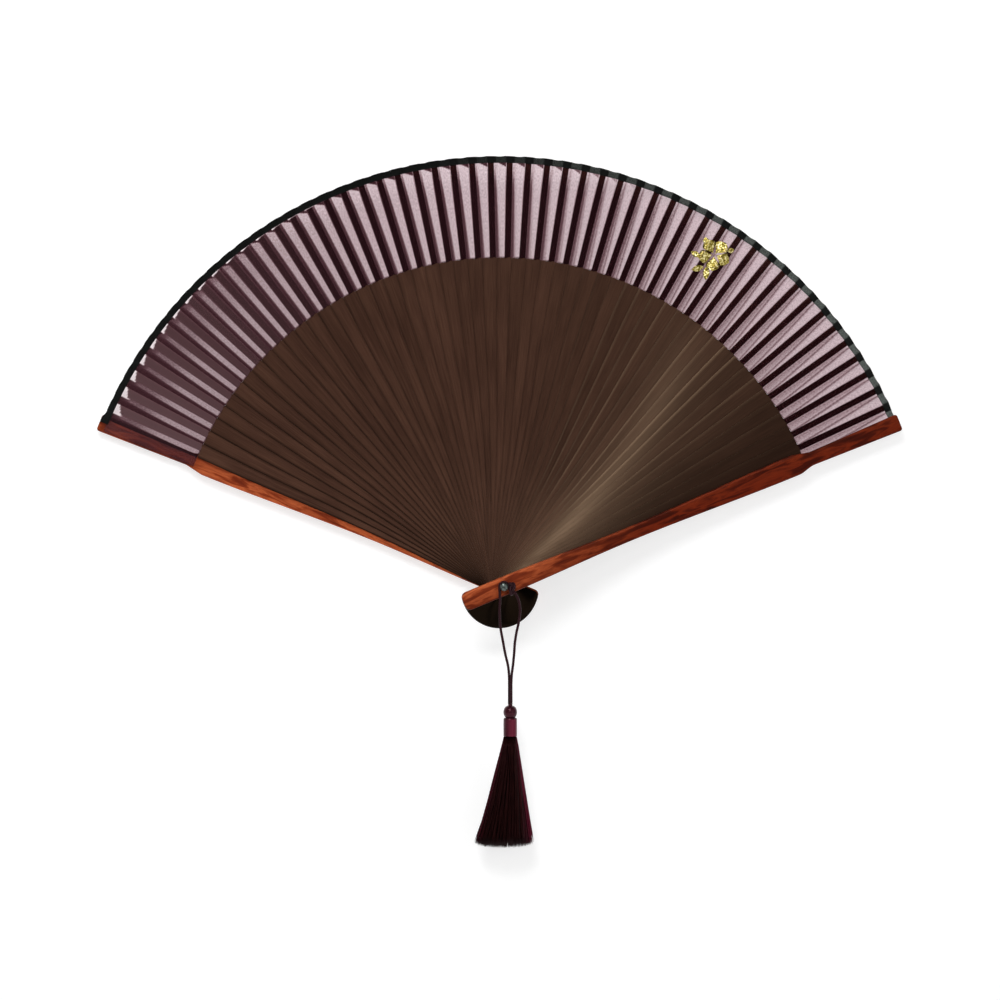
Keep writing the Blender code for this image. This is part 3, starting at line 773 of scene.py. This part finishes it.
def add_ribs():
    """Ribs of nearly one brown, darker towards the front guard.

    level is how light a rib is, raised near the rivet by painted sheen; edge is painted shadow
    along its sides, where the ribs overlap; and worn is a painted highlight on its left side, most
    at 41 degrees.
    """
    shine_share, tone = RNG.random((2, INNER_RIBS + 1))
    level = (0.91 + 0.18 * tone) * np.interp(
        np.arange(INNER_RIBS + 1), (2, 5, 8, 12, 17, 21, 26, 36, 44, 52),
        (0.42, 0.57, 0.72, 0.92, 0.88, 1.02, 1.12, 1.10, 1.15, 1.34),
    )
    for index in range(1, INNER_RIBS + 1):
        rings, grain, edge = rib_rings(float(slip_tip(index)), float(tip_slant(index)))
        points = place_stick(rings, fan_turn(index), rib_depth(index))
        # Painted shadow along the rib's sides, stronger towards the back guard
        edge_shade = float(np.interp(index, (0, 30, 40, 52), (0.35, 0.28, 0.55, 1.0)))
        angle = math.degrees(fan_turn(index))
        # A painted highlight on the left side of ribs near 41 degrees, where their edges catch the
        # light
        painted_shine = (0.08 + 0.6 * shine_share[index]) * math.exp(-(((angle - 41) / 16) ** 2))
        across, along = grain[..., 0], grain[..., 1]
        painted_shine = painted_shine * smoothstep((along - 25 * MM) / (40 * MM)) * (across < 0) * edge
        # Painted sheen: the pale band, and a lift in level near the rivet
        painted_sheen, lighter = painted_rib_sheen(fan_turn(index), across, along)
        rib = surface(
            f"bamboo_rib_{index:02d}", points, around=True, uv=grain,
            values={
                "tone": tone[index], "level": level[index] * lighter,
                "edge": edge_shade * edge * (1 - painted_shine),
                "painted_sheen": np.clip(painted_sheen + painted_shine, 0, 0.9),
            },
            sharp=math.radians(35),
        )
        name = f"rib_{index:02d}"
        dress(rib, BAMBOO, name, "bamboo", name)


def guard_rings():
    """A guard with its outer edges rounded: ogee step on its right side, straight taper left.

    Its inner face steps outwards where the leaf is glued to it.
    """
    head = -end_rows(HEAD_REACH, HEAD_WIDTH / 2, HEAD_CORNER, 8)
    lower = np.linspace(head[-1] + 1 * MM, SHOULDER_RADIUS, 46)
    ogee = np.linspace(SHOULDER_RADIUS, SHOULDER_RADIUS + OGEE_LENGTH, 15)[1:]
    step = np.array([RELIEF_START, RELIEF_START + 0.02 * MM])
    tip = end_rows(GUARD_RADIUS, GUARD_TIP_WIDTH / 2, GUARD_TIP_CORNER, 8)[::-1]
    upper = np.linspace(ogee[-1], tip[0] - 1 * MM, 14)[1:]
    along = np.unique(np.concatenate([head, lower, ogee, step, upper, tip]))
    slim = GUARD_SLIM_WIDTH / 2
    blade = side_half_width(np.minimum(along, SHOULDER_RADIUS))
    narrowest = SHOULDER_RADIUS + OGEE_LENGTH
    widen = np.clip((along - narrowest) / (GUARD_RADIUS - narrowest), 0, 1)
    flare = mix(slim, GUARD_TIP_WIDTH / 2, widen)
    taper = np.clip((along - SHOULDER_RADIUS) / OGEE_LENGTH, 0, 1)
    halves = []
    for share in (taper, smoothstep(taper)):
        half = flare + (BLADE_WIDTH / 2 - slim) * (1 - share)
        half = np.where(along > SHOULDER_RADIUS, half, blade)
        half = np.where(along < 0, corner_cut(along, half, HEAD_REACH, HEAD_CORNER, -1), half)
        cut = corner_cut(
            along, np.minimum(half, GUARD_TIP_WIDTH / 2), GUARD_RADIUS, GUARD_TIP_CORNER, 1
        )
        halves.append(np.where(along > GUARD_RADIUS - 4 * MM, cut, half))
    outer = np.full(len(along), GUARD_THICKNESS / 2)
    inner = GUARD_THICKNESS / 2 - RELIEF_DEPTH * (along > RELIEF_START)
    return stick_rings(
        along, *halves, outer, inner, GUARD_ROUNDING, GUARD_COLUMNS, (HEAD_REACH, GUARD_RADIUS)
    )


def add_guards():
    """The same stick in front and, turned over, at the back.

    amber falls off along the stick and towards its right side; on the front guard that right side
    is its lower one, so its upper side is lighter as painted light.
    """
    rings = guard_rings()
    across = smoothstep(rings[..., 0] / BLADE_WIDTH + 0.5)
    for name, body, index, side, tone, places, thin, right in (
        (
            "front_guard", "front_guard", 0, -1, 0.2,
            (8 * MM, 30 * MM, 70 * MM), (1.0, 0.5, 0.08), 0.35,
        ),
        (
            "back_guard", "handle", INNER_RIBS + 1, 1, 0.7,
            (SHOULDER_RADIUS, BLADE_RADIUS, LEAF_RADIUS), (1.0, 0.5, 0.7), 0.4,
        ),
    ):
        depth = side * (INNER_FACE + GUARD_THICKNESS / 2)
        # Orange share of the wood; across the front guard it is painted light, its upper side
        # lighter
        amber_and_light = np.interp(rings[..., 2], places, thin) * mix(1.0, right, across)
        guard = surface(
            f"rosewood_{name}", place_stick(rings * (1, -side, 1), fan_turn(index), depth),
            around=True, uv=rings[..., [0, 2]], values={"tone": tone, "amber_and_light": amber_and_light},
            sharp=math.radians(50),
        )
        dress(guard, ROSEWOOD, body, "rosewood", name)


add_ribs()
add_guards()


# Leaf and binding

# What the columns of a table of fold lines hold
TURN, DEPTH, RISE, WEIGHT, SHARE, OPEN = range(6)
EXTRA_ROWS = (0.008, 0.016, 0.91, 0.925, 0.95, 0.962, 0.974, 0.987)
HALF_PANEL = STEP_ANGLE / 4
PANEL_SLOPE = math.sin(HALF_PANEL) * math.tan(SLIP_TILT)


def fold_lines(standoff):
    """The leaf's fold lines, right to left: turn, depth at the rivet, rise, share of the front
    guard's turn.

    On a line the leaf lies at depth + rise * radius, and the last number is that line's share
    of the front guard's turn.
    """
    face = INNER_FACE + RELIEF_DEPTH - standoff
    offset = (SLIP_THICKNESS / 2 + standoff) / math.cos(SLIP_TILT)
    index = np.arange(1, INNER_RIBS + 1)
    turn = fan_turn(index)
    front = rib_depth(index) - offset
    weight = 1 - index / (INNER_RIBS + 1)
    right = join(turn + HALF_PANEL, front, PANEL_SLOPE, weight)
    left = join(turn - HALF_PANEL, front, -PANEL_SLOPE, weight)
    inner = np.stack([right, left], 1).reshape(-1, 4)
    first, last = fan_turn(0), fan_turn(INNER_RIBS + 1)
    start = [(first + HALF_PANEL, -face, 0.0, 1.0), (first - HALF_PANEL, -face, 0.0, 1.0)]
    end = [(last + HALF_PANEL, face, 0.0, 0.0), (last - 1.5 * HALF_PANEL, face, 0.0, 0.0)]
    return np.vstack([start, inner, end])


def fine_columns(lines):
    """Fold lines with even steps between them: few on glued panels, more on open ones.

    The last two columns added are the share across the panel and 1 on an open panel.
    """
    last = len(lines) - 1
    place = np.concatenate([
        np.linspace(k, k + 1, OPEN_COLUMNS if k % 2 else PANEL_COLUMNS, endpoint=False)
        for k in range(last)
    ] + [[last]])
    spread = [np.interp(place, np.arange(last + 1), lines[:, k]) for k in range(4)]
    panel = np.minimum(np.floor(place), last - 1)
    return join(*spread, place - panel, panel % 2)


def at_turn(columns, turn, kept):
    order = np.argsort(columns[:, TURN])
    return np.interp(turn, columns[order, TURN], columns[order, kept])


def on_leaf(turn, radius, lift, columns):
    """Points on the leaf at turns and radii, lift in front of it; open panels sag backwards.

    The sag is a parabola across the panel that fades at the leaf's inner and outer edge.
    """
    depth, rise, share, is_open = (at_turn(columns, turn, k) for k in (DEPTH, RISE, SHARE, OPEN))
    run = np.clip((radius - LEAF_START) / (LEAF_RADIUS - LEAF_START), 0, 1)
    sag = LEAF_BILLOW * (is_open > 0.99) * 4 * share * (1 - share) * 4 * run * (1 - run)
    return join(radius * np.sin(turn), depth + rise * radius + sag - lift, radius * np.cos(turn))


def follow_fold(piece):
    """Bakes the piece's transform into its mesh and reads out its points, which are not used.
    """
    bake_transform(piece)
    places = np.zeros(len(piece.data.vertices) * 3, np.float32)
    piece.data.vertices.foreach_get("co", places)


def silk_shading(columns, run):
    """Where the silk lies double, has painted shade and sheen, and is clear, by place on the leaf.

    Clockwise of each slip a fold lies under the open panel: a wedge, wide at the blades and
    running out towards the edge, darkened further by painted shade, most on the left. It fades
    from the slip at the top of the fan, is a painted shadow line with a pale wedge behind it on
    the right, and is even and dark on the left. The whole leaf is darker towards the left by
    painted shade, with a painted shadow line along its inner edge. The silk over the slips has
    painted sheen on the left, and beyond a slip's tip there is one clear layer.
    """
    turn, share, is_open = (columns[None, :, k] for k in (TURN, SHARE, OPEN))
    share, is_open, run = 1 - share, is_open > 0.5, run[:, None]
    angle = np.degrees(turn)
    beside = np.where(is_open, share, 0.0)
    wide = np.interp(angle, (-68, -30, 0, 30, 50, 68), (0.52, 0.48, 0.50, 0.70, 0.95, 1.15))
    reach = np.interp(
        angle, (-68, -50, -35, -12, 0, 20, 68), (7.0, 2.2, 1.4, 1.15, 1.05, 1.05, 1.04)
    )
    edge = wide * np.clip(1 - run / reach, 0, 1)
    leftness = np.interp(angle, (-60, -30), (1.0, 0.0))
    edge = mix(edge, mix(0.34, 0.78, np.clip(run, 0, 1) ** 1.6), leftness)
    fading = np.clip(1 - beside / np.maximum(edge, 0.02), 0, 1) ** 0.8
    even = smoothstep((edge - beside) / 0.16 + 0.5)
    evenness = np.interp(angle, (-60, -22), (0.65, 0.0))
    inside = mix(fading, even, evenness) * smoothstep(edge / 0.2)
    inside = inside * np.where(is_open, 1.0, 0.75)
    # How dark the wedge is: the double layer and painted shade, most on the left
    depth = np.interp(angle, (-68, -5, 10, 25, 45, 68), (0.92, 0.88, 0.70, 0.48, 0.32, 0.28))
    # A painted shadow line along the wedge's edge on the right
    crease = np.interp(angle, (-5, 18, 68), (0.0, 0.34, 0.36))
    crease = crease * np.exp(-(((beside - edge) / 0.14) ** 2))
    # Painted shade over the whole leaf, darker towards the left
    base = np.interp(angle, (-68, -40, -10, 25, 68), (0.19, 0.16, 0.07, 0.02, 0.06))
    radius = mix(LEAF_START, LEAF_RADIUS, run)
    # A painted shadow line along the leaf's inner edge
    root = 0.45 * smoothstep(1 - (radius - LEAF_START) / (0.7 * MM))
    slant = LEAF_RADIUS - mix(0.3, 2.6, share) * MM
    hem = smoothstep((radius - slant) / (0.5 * MM)) * np.interp(angle, (0, 22), (0.85, 0.0))
    left_hem = 0.25 * smoothstep((run - 0.4) / 0.4) + 0.35 * smoothstep((run - 0.86) / 0.08)
    hem = np.maximum(hem, leftness * left_hem) * is_open
    shades = np.maximum(depth * inside, crease * is_open)
    folds_and_shade = np.clip(base + np.maximum(np.maximum(shades, root), hem), 0, 1)
    # Painted sheen over the slips on the left, a little on the open panels and on the back guard
    shine = np.interp(angle, (-68, -50, -25), (1.0, 0.55, 0.0))
    bloom = shine * np.where(is_open, 0.15, 1.0)
    index = np.clip((OPENING_ANGLE / 2 - turn) / STEP_ANGLE, 1, INNER_RIBS)
    aside = radius * np.sin(turn - fan_turn(np.round(index)))
    tip = slip_tip(index) + tip_slant(index) * aside
    beyond = smoothstep((radius - tip) / (0.4 * MM)) * (angle < -25)
    clear = beyond * np.where(is_open, smoothstep((beside - 0.88) / 0.08), 1.0)
    on_guard = (angle < math.degrees(fan_turn(INNER_RIBS + 1) + 1.01 * HALF_PANEL)) * 1.0
    clear = clear * (1 - on_guard)
    bloom = mix(bloom * (1 - clear), 0.35, on_guard)
    thin = on_guard * smoothstep((run - 0.6) / 0.3)
    folds_and_shade = mix(folds_and_shade * (1 - clear), 0.05, on_guard)
    return {"folds_and_shade": folds_and_shade, "bloom": bloom, "clear": np.maximum(clear, thin)}


def add_leaf():
    columns = fine_columns(fold_lines(LEAF_THICKNESS / 2 + LEAF_STANDOFF))
    run = np.sort([*np.linspace(0, 1, LEAF_ROWS), *EXTRA_ROWS])
    radius = mix(LEAF_START, LEAF_RADIUS, run)[:, None]
    turn = columns[None, :, TURN]
    leaf = surface(
        "pleated_silk", on_leaf(turn, radius, 0.0, columns), uv=join(-turn * LEAF_RADIUS, radius),
        values=silk_shading(columns, run), closed=False, sharp=math.radians(12),
    )
    thicken(leaf, "cloth thickness", LEAF_THICKNESS)
    dress(leaf, SILK, None, "silk", "silk_leaf")
    follow_fold(leaf)


def add_binding():
    """The tape: its inner edge an arc, its outer edge drawn in a little between the slips.

    It rises a little on the left and ends part of the way over the back guard, whose tip
    stays bare.
    """
    columns = fine_columns(fold_lines(BINDING_THICKNESS / 2 + LEAF_STANDOFF + LEAF_THICKNESS))
    columns = columns[:-4]
    turn, share, is_open = (columns[None, :, k] for k in (TURN, SHARE, OPEN))
    angle = np.degrees(turn)
    outer = BINDING_END - BINDING_SCALLOP * is_open * 4 * share * (1 - share)
    outer = outer + BINDING_RISE * smoothstep(-66.0 - angle)
    radius = mix(BINDING_START, outer, np.linspace(0, 1, 5)[:, None])
    points = on_leaf(turn, radius, 0.0, columns)
    # Painted highlight on the tape over the open panels, more towards the right
    painted_shine = (is_open > 0.5) * np.interp(angle, (-10, 30, 68), (0.0, 0.7, 1.0))
    binding = surface(
        "black_edge_tape", points, uv=join(-turn * BINDING_END, radius), values={"painted_shine": painted_shine},
        closed=False, sharp=math.radians(20),
    )
    thicken(binding, "tape thickness", BINDING_THICKNESS)
    dress(binding, TAPE, None, "tape", "edge_binding")
    follow_fold(binding)


add_leaf()
add_binding()


# Gold blossom on the leaf

BLOSSOM_TURN = math.radians(32.4)
BLOSSOM_RADIUS = 174.5 * MM
BLOSSOM_CENTRE = np.array((1.5, 2.5)) * MM
PETAL_ROOT = 0.7 * MM
PETAL_LENGTH = 6.8 * MM
PETAL_WIDTH = 3.1 * MM
FOIL_THICKNESS = 0.03 * MM


def petal(root, heading, length, width, fullness):
    """A leaf or petal shape: its half width is width times sin(pi * share ** fullness)."""
    share = np.linspace(0, 1, 14)[:, None]
    across = np.linspace(-1, 1, 8)[None, :]
    ahead = np.array((math.sin(heading), math.cos(heading)))
    aside = np.array((ahead[1], -ahead[0]))
    half = width * np.sin(math.pi * share**fullness)
    return root + (share * length)[..., None] * ahead + (half * across)[..., None] * aside


def add_blossom():
    """A five-petalled blossom, three leaves and two buds, pressed on the leaf."""
    shapes = []
    for heading in math.tau * np.arange(5) / 5 + 0.2:
        root = BLOSSOM_CENTRE + PETAL_ROOT * np.array((math.sin(heading), math.cos(heading)))
        shapes.append(petal(root, heading, PETAL_LENGTH, PETAL_WIDTH, 1.45))
    for root, heading, length, width in (
        ((1.4, -3.6), 2.65, 6.6, 1.5), ((0.6, -4.6), 3.95, 6.2, 1.5),
        ((-3.2, -1.8), 4.75, 5.0, 1.3), ((-3.6, 4.4), 5.6, 3.6, 1.4), ((5.6, 7.0), 0.7, 3.2, 1.2),
    ):
        shapes.append(petal(np.array(root) * MM, heading, length * MM, width * MM, 1.0))
    columns = fine_columns(fold_lines(LEAF_THICKNESS / 2 + LEAF_STANDOFF))
    flat = np.stack(shapes)
    turn = BLOSSOM_TURN + flat[..., 0] / BLOSSOM_RADIUS
    points = on_leaf(turn, BLOSSOM_RADIUS + flat[..., 1], LEAF_THICKNESS * 0.8, columns)
    blossom = surface("gold_blossom", points, closed=False, sharp=math.radians(60))
    thicken(blossom, "foil thickness", FOIL_THICKNESS)
    dress(blossom, GOLD, None, "metal")
    follow_fold(blossom)


add_blossom()


# Rivet, knot and tassel

def add_rivet():
    """Domed head, neck for the cord, washer, pin through the stack and a domed back head."""
    turn = np.linspace(0, math.pi / 2, 9)
    across, out = RIVET_HEAD_RADIUS * np.sin(turn), RIVET_RIM + RIVET_HEAD_HEIGHT * np.cos(turn)
    profile = [
        *join(across, NECK_FACE + out),
        (RIVET_HEAD_RADIUS, NECK_FACE), (PIN_RADIUS, NECK_FACE), (PIN_RADIUS, WASHER_FACE),
        (RIVET_HEAD_RADIUS, WASHER_FACE), (RIVET_HEAD_RADIUS, SEAT), (PIN_RADIUS, SEAT),
        (PIN_RADIUS, -SEAT), (RIVET_HEAD_RADIUS, -SEAT),
        *join(across, -SEAT - out)[::-1],
    ]
    rivet = turned("steel_rivet", profile, (0, 0, 0), 1, 48)
    dress(rivet, STEEL, "handle", "metal", "rivet")


KNOT_CENTRE = (3.3 * MM, CORD_DEPTH - 0.6 * MM, -0.6 * MM)
KNOT_SIZE = (0.46 * MM, 0.55 * MM, 0.98 * MM)


def add_knot():
    """The hitch beside the rivet, a trefoil drawn tall.

    It is (sin t + 2 sin 2t, -sin 3t, cos t - 2 cos 2t) for t over one turn, times its size.
    """
    t = np.linspace(0, math.tau, 121)
    flat = join(np.sin(t) + 2 * np.sin(2 * t), -np.sin(3 * t), np.cos(t) - 2 * np.cos(2 * t))
    path = np.array(KNOT_CENTRE) + np.array(KNOT_SIZE) * flat
    knot = plied_cord("tassel_hitch", path, 12, closed_loop=True)
    dress(knot, CORD_THREAD, "tassel", "thread")


CAP_SIDES = 40
WRAP_HEIGHT = 0.62 * MM
WRAP_RELIEF = 0.05 * MM


def add_cap():
    """A thread-wound bead, a groove and a bound neck: round wraps as a rectified sine of height.

    The neck's binding is redder by the cosine of the turn from its front right: a painted highlight
    there, darker on its left.
    """

    def winding(height, turns):
        phase = height / WRAP_HEIGHT + turns / math.tau
        return WRAP_RELIEF * np.abs(np.sin(math.pi * phase))

    sweep = np.linspace(0, math.pi * 0.82, 40)[4:]
    waist, bottom = -CAP_BEAD_HEIGHT, -CAP_BEAD_HEIGHT - NECK_HEIGHT
    profile = np.array([
        (0.0, 0.6 * MM), (0.8 * MM, 0.5 * MM), (1.0 * MM, 0.0),
        *join(CAP_BEAD_RADIUS * np.sin(sweep) ** 0.7, waist / 2 * (1 - np.cos(sweep)) / 0.92),
        (NECK_RADIUS * 0.88, waist), (NECK_RADIUS * 0.96, waist - 0.3 * MM),
        *join(NECK_RADIUS, np.linspace(waist - 0.8 * MM, bottom, 70)), (0.0, bottom),
    ])
    low = profile[:, 1:] < waist - 0.5 * MM
    turns = np.linspace(0, math.tau, CAP_SIDES, endpoint=False)
    wine_and_sheen = low * mix(0.12, 0.95, smoothstep(np.cos(turns + math.pi / 4)))
    cap = turned("wound_cap", profile, CAP_TOP, 2, CAP_SIDES, winding, {"wine_and_sheen": wine_and_sheen})
    dress(cap, CAP_THREAD, "tassel", "thread", "tassel_cap")


STRANDS = 1100
STRAND_POINTS = 12
STRAND_SIDES = 3
STRAND_RADIUS = 0.27 * MM
STRAND_JUMP = 0.37
HEM_RAGGED = 0.015
HEM_ROUNDED = 0.035
SWAY = 0.22 * MM
SWAY_DEEP = 0.2 * MM


def add_skirt():
    """Loose threads that leave the neck together, swell and hang to an uneven hem.

    A strand starts at share s of the neck's radius and hangs at the same share of a radius
    that grows from the neck to the hem, quickly at first; each has its own small sway.
    """
    share = np.sqrt(RNG.random(STRANDS))[:, None]
    turn = (RNG.random(STRANDS) * math.tau)[:, None]
    drop = np.linspace(0, 1, STRAND_POINTS)[None, :]
    ragged = HEM_RAGGED * RNG.random(STRANDS)[:, None]
    length = SKIRT_LENGTH * (1 - ragged - HEM_ROUNDED * share**4)
    spread = drop**1.12
    wide = mix(NECK_RADIUS * 0.98, SKIRT_HEM_RADIUS * 0.98, spread)
    deep = wide * mix(1.0, SKIRT_DEPTH_SHARE, spread)
    sway = RNG.normal(0, SWAY, (STRANDS, 1)) * np.sin(math.pi * 1.3 * drop)
    sway_y = RNG.normal(0, SWAY_DEEP, (STRANDS, 1)) * np.sin(math.pi * 1.1 * drop)
    x = CAP_TOP[0] + share * wide * np.cos(turn) - SKIRT_LEAN * drop**1.5 + sway
    y = CAP_TOP[1] + share * deep * np.sin(turn) + sway_y
    z = CAP_TOP[2] - CAP_BEAD_HEIGHT - NECK_HEIGHT - length * drop
    around = np.linspace(0, math.tau, STRAND_SIDES, endpoint=False)
    ring = STRAND_RADIUS * join(np.cos(around), np.sin(around), 0.0)
    full = np.ones(STRAND_POINTS)
    full[[0, -1]] = 0.0
    points = join(x, y, z)[:, :, None] + full[:, None, None] * ring
    strand = np.arange(STRANDS)[:, None, None]
    fall = (length * drop)[:, :, None]
    beside = (share * np.cos(turn))[:, :, None]
    # Painted sheen: redder towards the right edge and at the left fringe, on three strands in four
    wine_and_sheen = 0.85 * smoothstep((beside - 0.55) / 0.4) + 0.35 * smoothstep(-(beside + 0.8) / 0.2)
    wine_and_sheen = np.clip(wine_and_sheen, 0, 1) * (RNG.random(STRANDS) < 0.75)[:, None, None]
    skirt = surface(
        "thread_skirt", points, around=True, uv=join(strand * STRAND_JUMP, fall),
        values={"wine_and_sheen": wine_and_sheen}, sharp=math.pi,
    )
    dress(skirt, SKIRT_THREAD, "tassel", "thread", "tassel_skirt")


add_rivet()
add_knot()
add_cap()
add_skirt()


# Stage and light

BACKDROP_Y = OUTER_FACE + 3.5 * MM
ROOM_LIGHT = 0.38
DARK_SIDE = 0.12
BACKDROP_GLOW = 0.68
FLOOR_Z = -0.30
HALF_STAGE = 1.5
# Each bend's reach forward, where it starts, how far it runs and its length
RIGHT_BEND = (27 * MM, 20 * MM, 240 * MM, 50 * MM)
LOW_BEND = (23 * MM, 25 * MM, 200 * MM, 30 * MM)


def seen_white(node, share):
    """Emission of that strength towards the camera and in reflections, none otherwise."""
    path = node("LightPath", None).outputs
    seen = node(
        "Math", 0, {0: path["Is Camera Ray"], 1: path["Is Glossy Ray"]}, operation="MAXIMUM"
    )
    seen = node("Math", 0, {0: seen, 1: path["Is Transmission Ray"]}, operation="MAXIMUM")
    strength = node("Math", 0, {0: seen, 1: share}, operation="MULTIPLY")
    return seen, strength


def white_card(node, white, one_sided):
    """White card: glows towards the camera, keeps the object's shadow; one side only if asked."""
    seen, strength = seen_white(node, white)
    card = node("BsdfDiffuse", "BSDF", {"Color": linear("B4B4B4")})
    glow = node("Emission", "Emission", {"Color": linear("FFFFFF"), "Strength": strength})
    shader = node("AddShader", "Shader", {0: card, 1: glow})
    if one_sided:
        away = node("NewGeometry", "Backfacing")
        front = node("Math", 0, {0: 1.0, 1: away}, operation="SUBTRACT")
        shown = node("Math", 0, {0: front, 1: seen}, operation="MULTIPLY")
        clear = node("BsdfTransparent", "BSDF")
        shader = node("MixShader", "Shader", {0: shown, 1: clear, 2: shader})
    return shader


def add_card(name, points, material):
    card = surface(name, points, closed=False, sharp=math.pi)
    card.data.materials.append(material)


def bend(place, reach, start, most, length):
    """Reach times one less e to the power of minus the distance past start over length."""
    return reach * (1 - np.exp(-np.clip(place - start, 0, most) / length))


def wall_points():
    """A wall close behind the stack of heads, bent forward on the right of them and below.

    It comes forward by the bend on the right or the one below, whichever is more.
    """
    x = np.array([-HALF_STAGE, *np.linspace(0.02, 0.26, 33), HALF_STAGE])
    z = np.array([FLOOR_Z, *np.linspace(-0.22, -0.025, 27), HALF_STAGE])[:, None]
    return join(x, BACKDROP_Y - np.maximum(bend(x, *RIGHT_BEND), bend(-z, *LOW_BEND)), z)


def add_stage():
    """A white wall just behind the fan, seen from the front only, and a pale floor far below."""
    backdrop = make_material("white_backdrop", white_card, BACKDROP_GLOW, True)
    add_card("backdrop", wall_points(), backdrop)
    sides = np.array((-HALF_STAGE, HALF_STAGE))
    floor = make_material("white_floor", white_card, BACKDROP_GLOW, False)
    add_card("floor", join(sides, sides[:, None], FLOOR_Z), floor)


def add_lamp(name, place, target, size, power):
    data = bpy.data.lights.new(name, "AREA")
    data.shape = "DISK"
    data.size = size
    data.energy = power
    lamp = add_object(name, data)
    lamp.location = place
    toward = Vector(target) - Vector(place)
    lamp.rotation_euler = toward.to_track_quat("-Z", "Y").to_euler()


def white_room(node):
    """White surroundings to the eye and in reflections of what is behind the fan.

    As light on the object they are dimmer, and so is the dark side of the studio in front.
    """
    path = node("LightPath", None).outputs
    depth = node("SeparateXYZ", "Y", {"Vector": node("TexCoord", "Generated")})
    mirrored = node("MapRange", "Result", {
        "Value": depth, "From Min": -0.1, "From Max": 0.3, "To Min": DARK_SIDE, "To Max": 1.0,
    })
    seen = node(
        "Math", 0, {0: path["Is Camera Ray"], 1: path["Is Transmission Ray"]}, operation="MAXIMUM"
    )
    lit = node("Mix", "Result", {"Factor": seen, "A": ROOM_LIGHT, "B": 1.0}, data_type="FLOAT")
    total = node(
        "Mix", "Result", {"Factor": path["Is Glossy Ray"], "A": lit, "B": mirrored},
        data_type="FLOAT",
    )
    return node("Background", "Background", {"Color": linear("FFFFFF"), "Strength": total})


add_stage()
bpy.context.scene.world = bpy.data.worlds.new("white_room")
fill_tree(bpy.context.scene.world, "OutputWorld", white_room)
add_lamp("key_softbox", (-0.35, -1.25, 0.90), (0, 0, 0.08), 0.6, 11.5)
add_lamp("sheen_softbox", (-0.28, -1.5, 0.33), (0, 0, 0.06), 0.22, 1)
add_lamp("fill_softbox", (1.0, -1.4, 0.2), (0, 0, 0.05), 0.9, 3)
add_lamp("rear_softbox", (0.3, 1.5, 0.9), (0, 0, 0.08), 1.0, 16)

bpy.context.scene.view_settings.view_transform = "Standard"
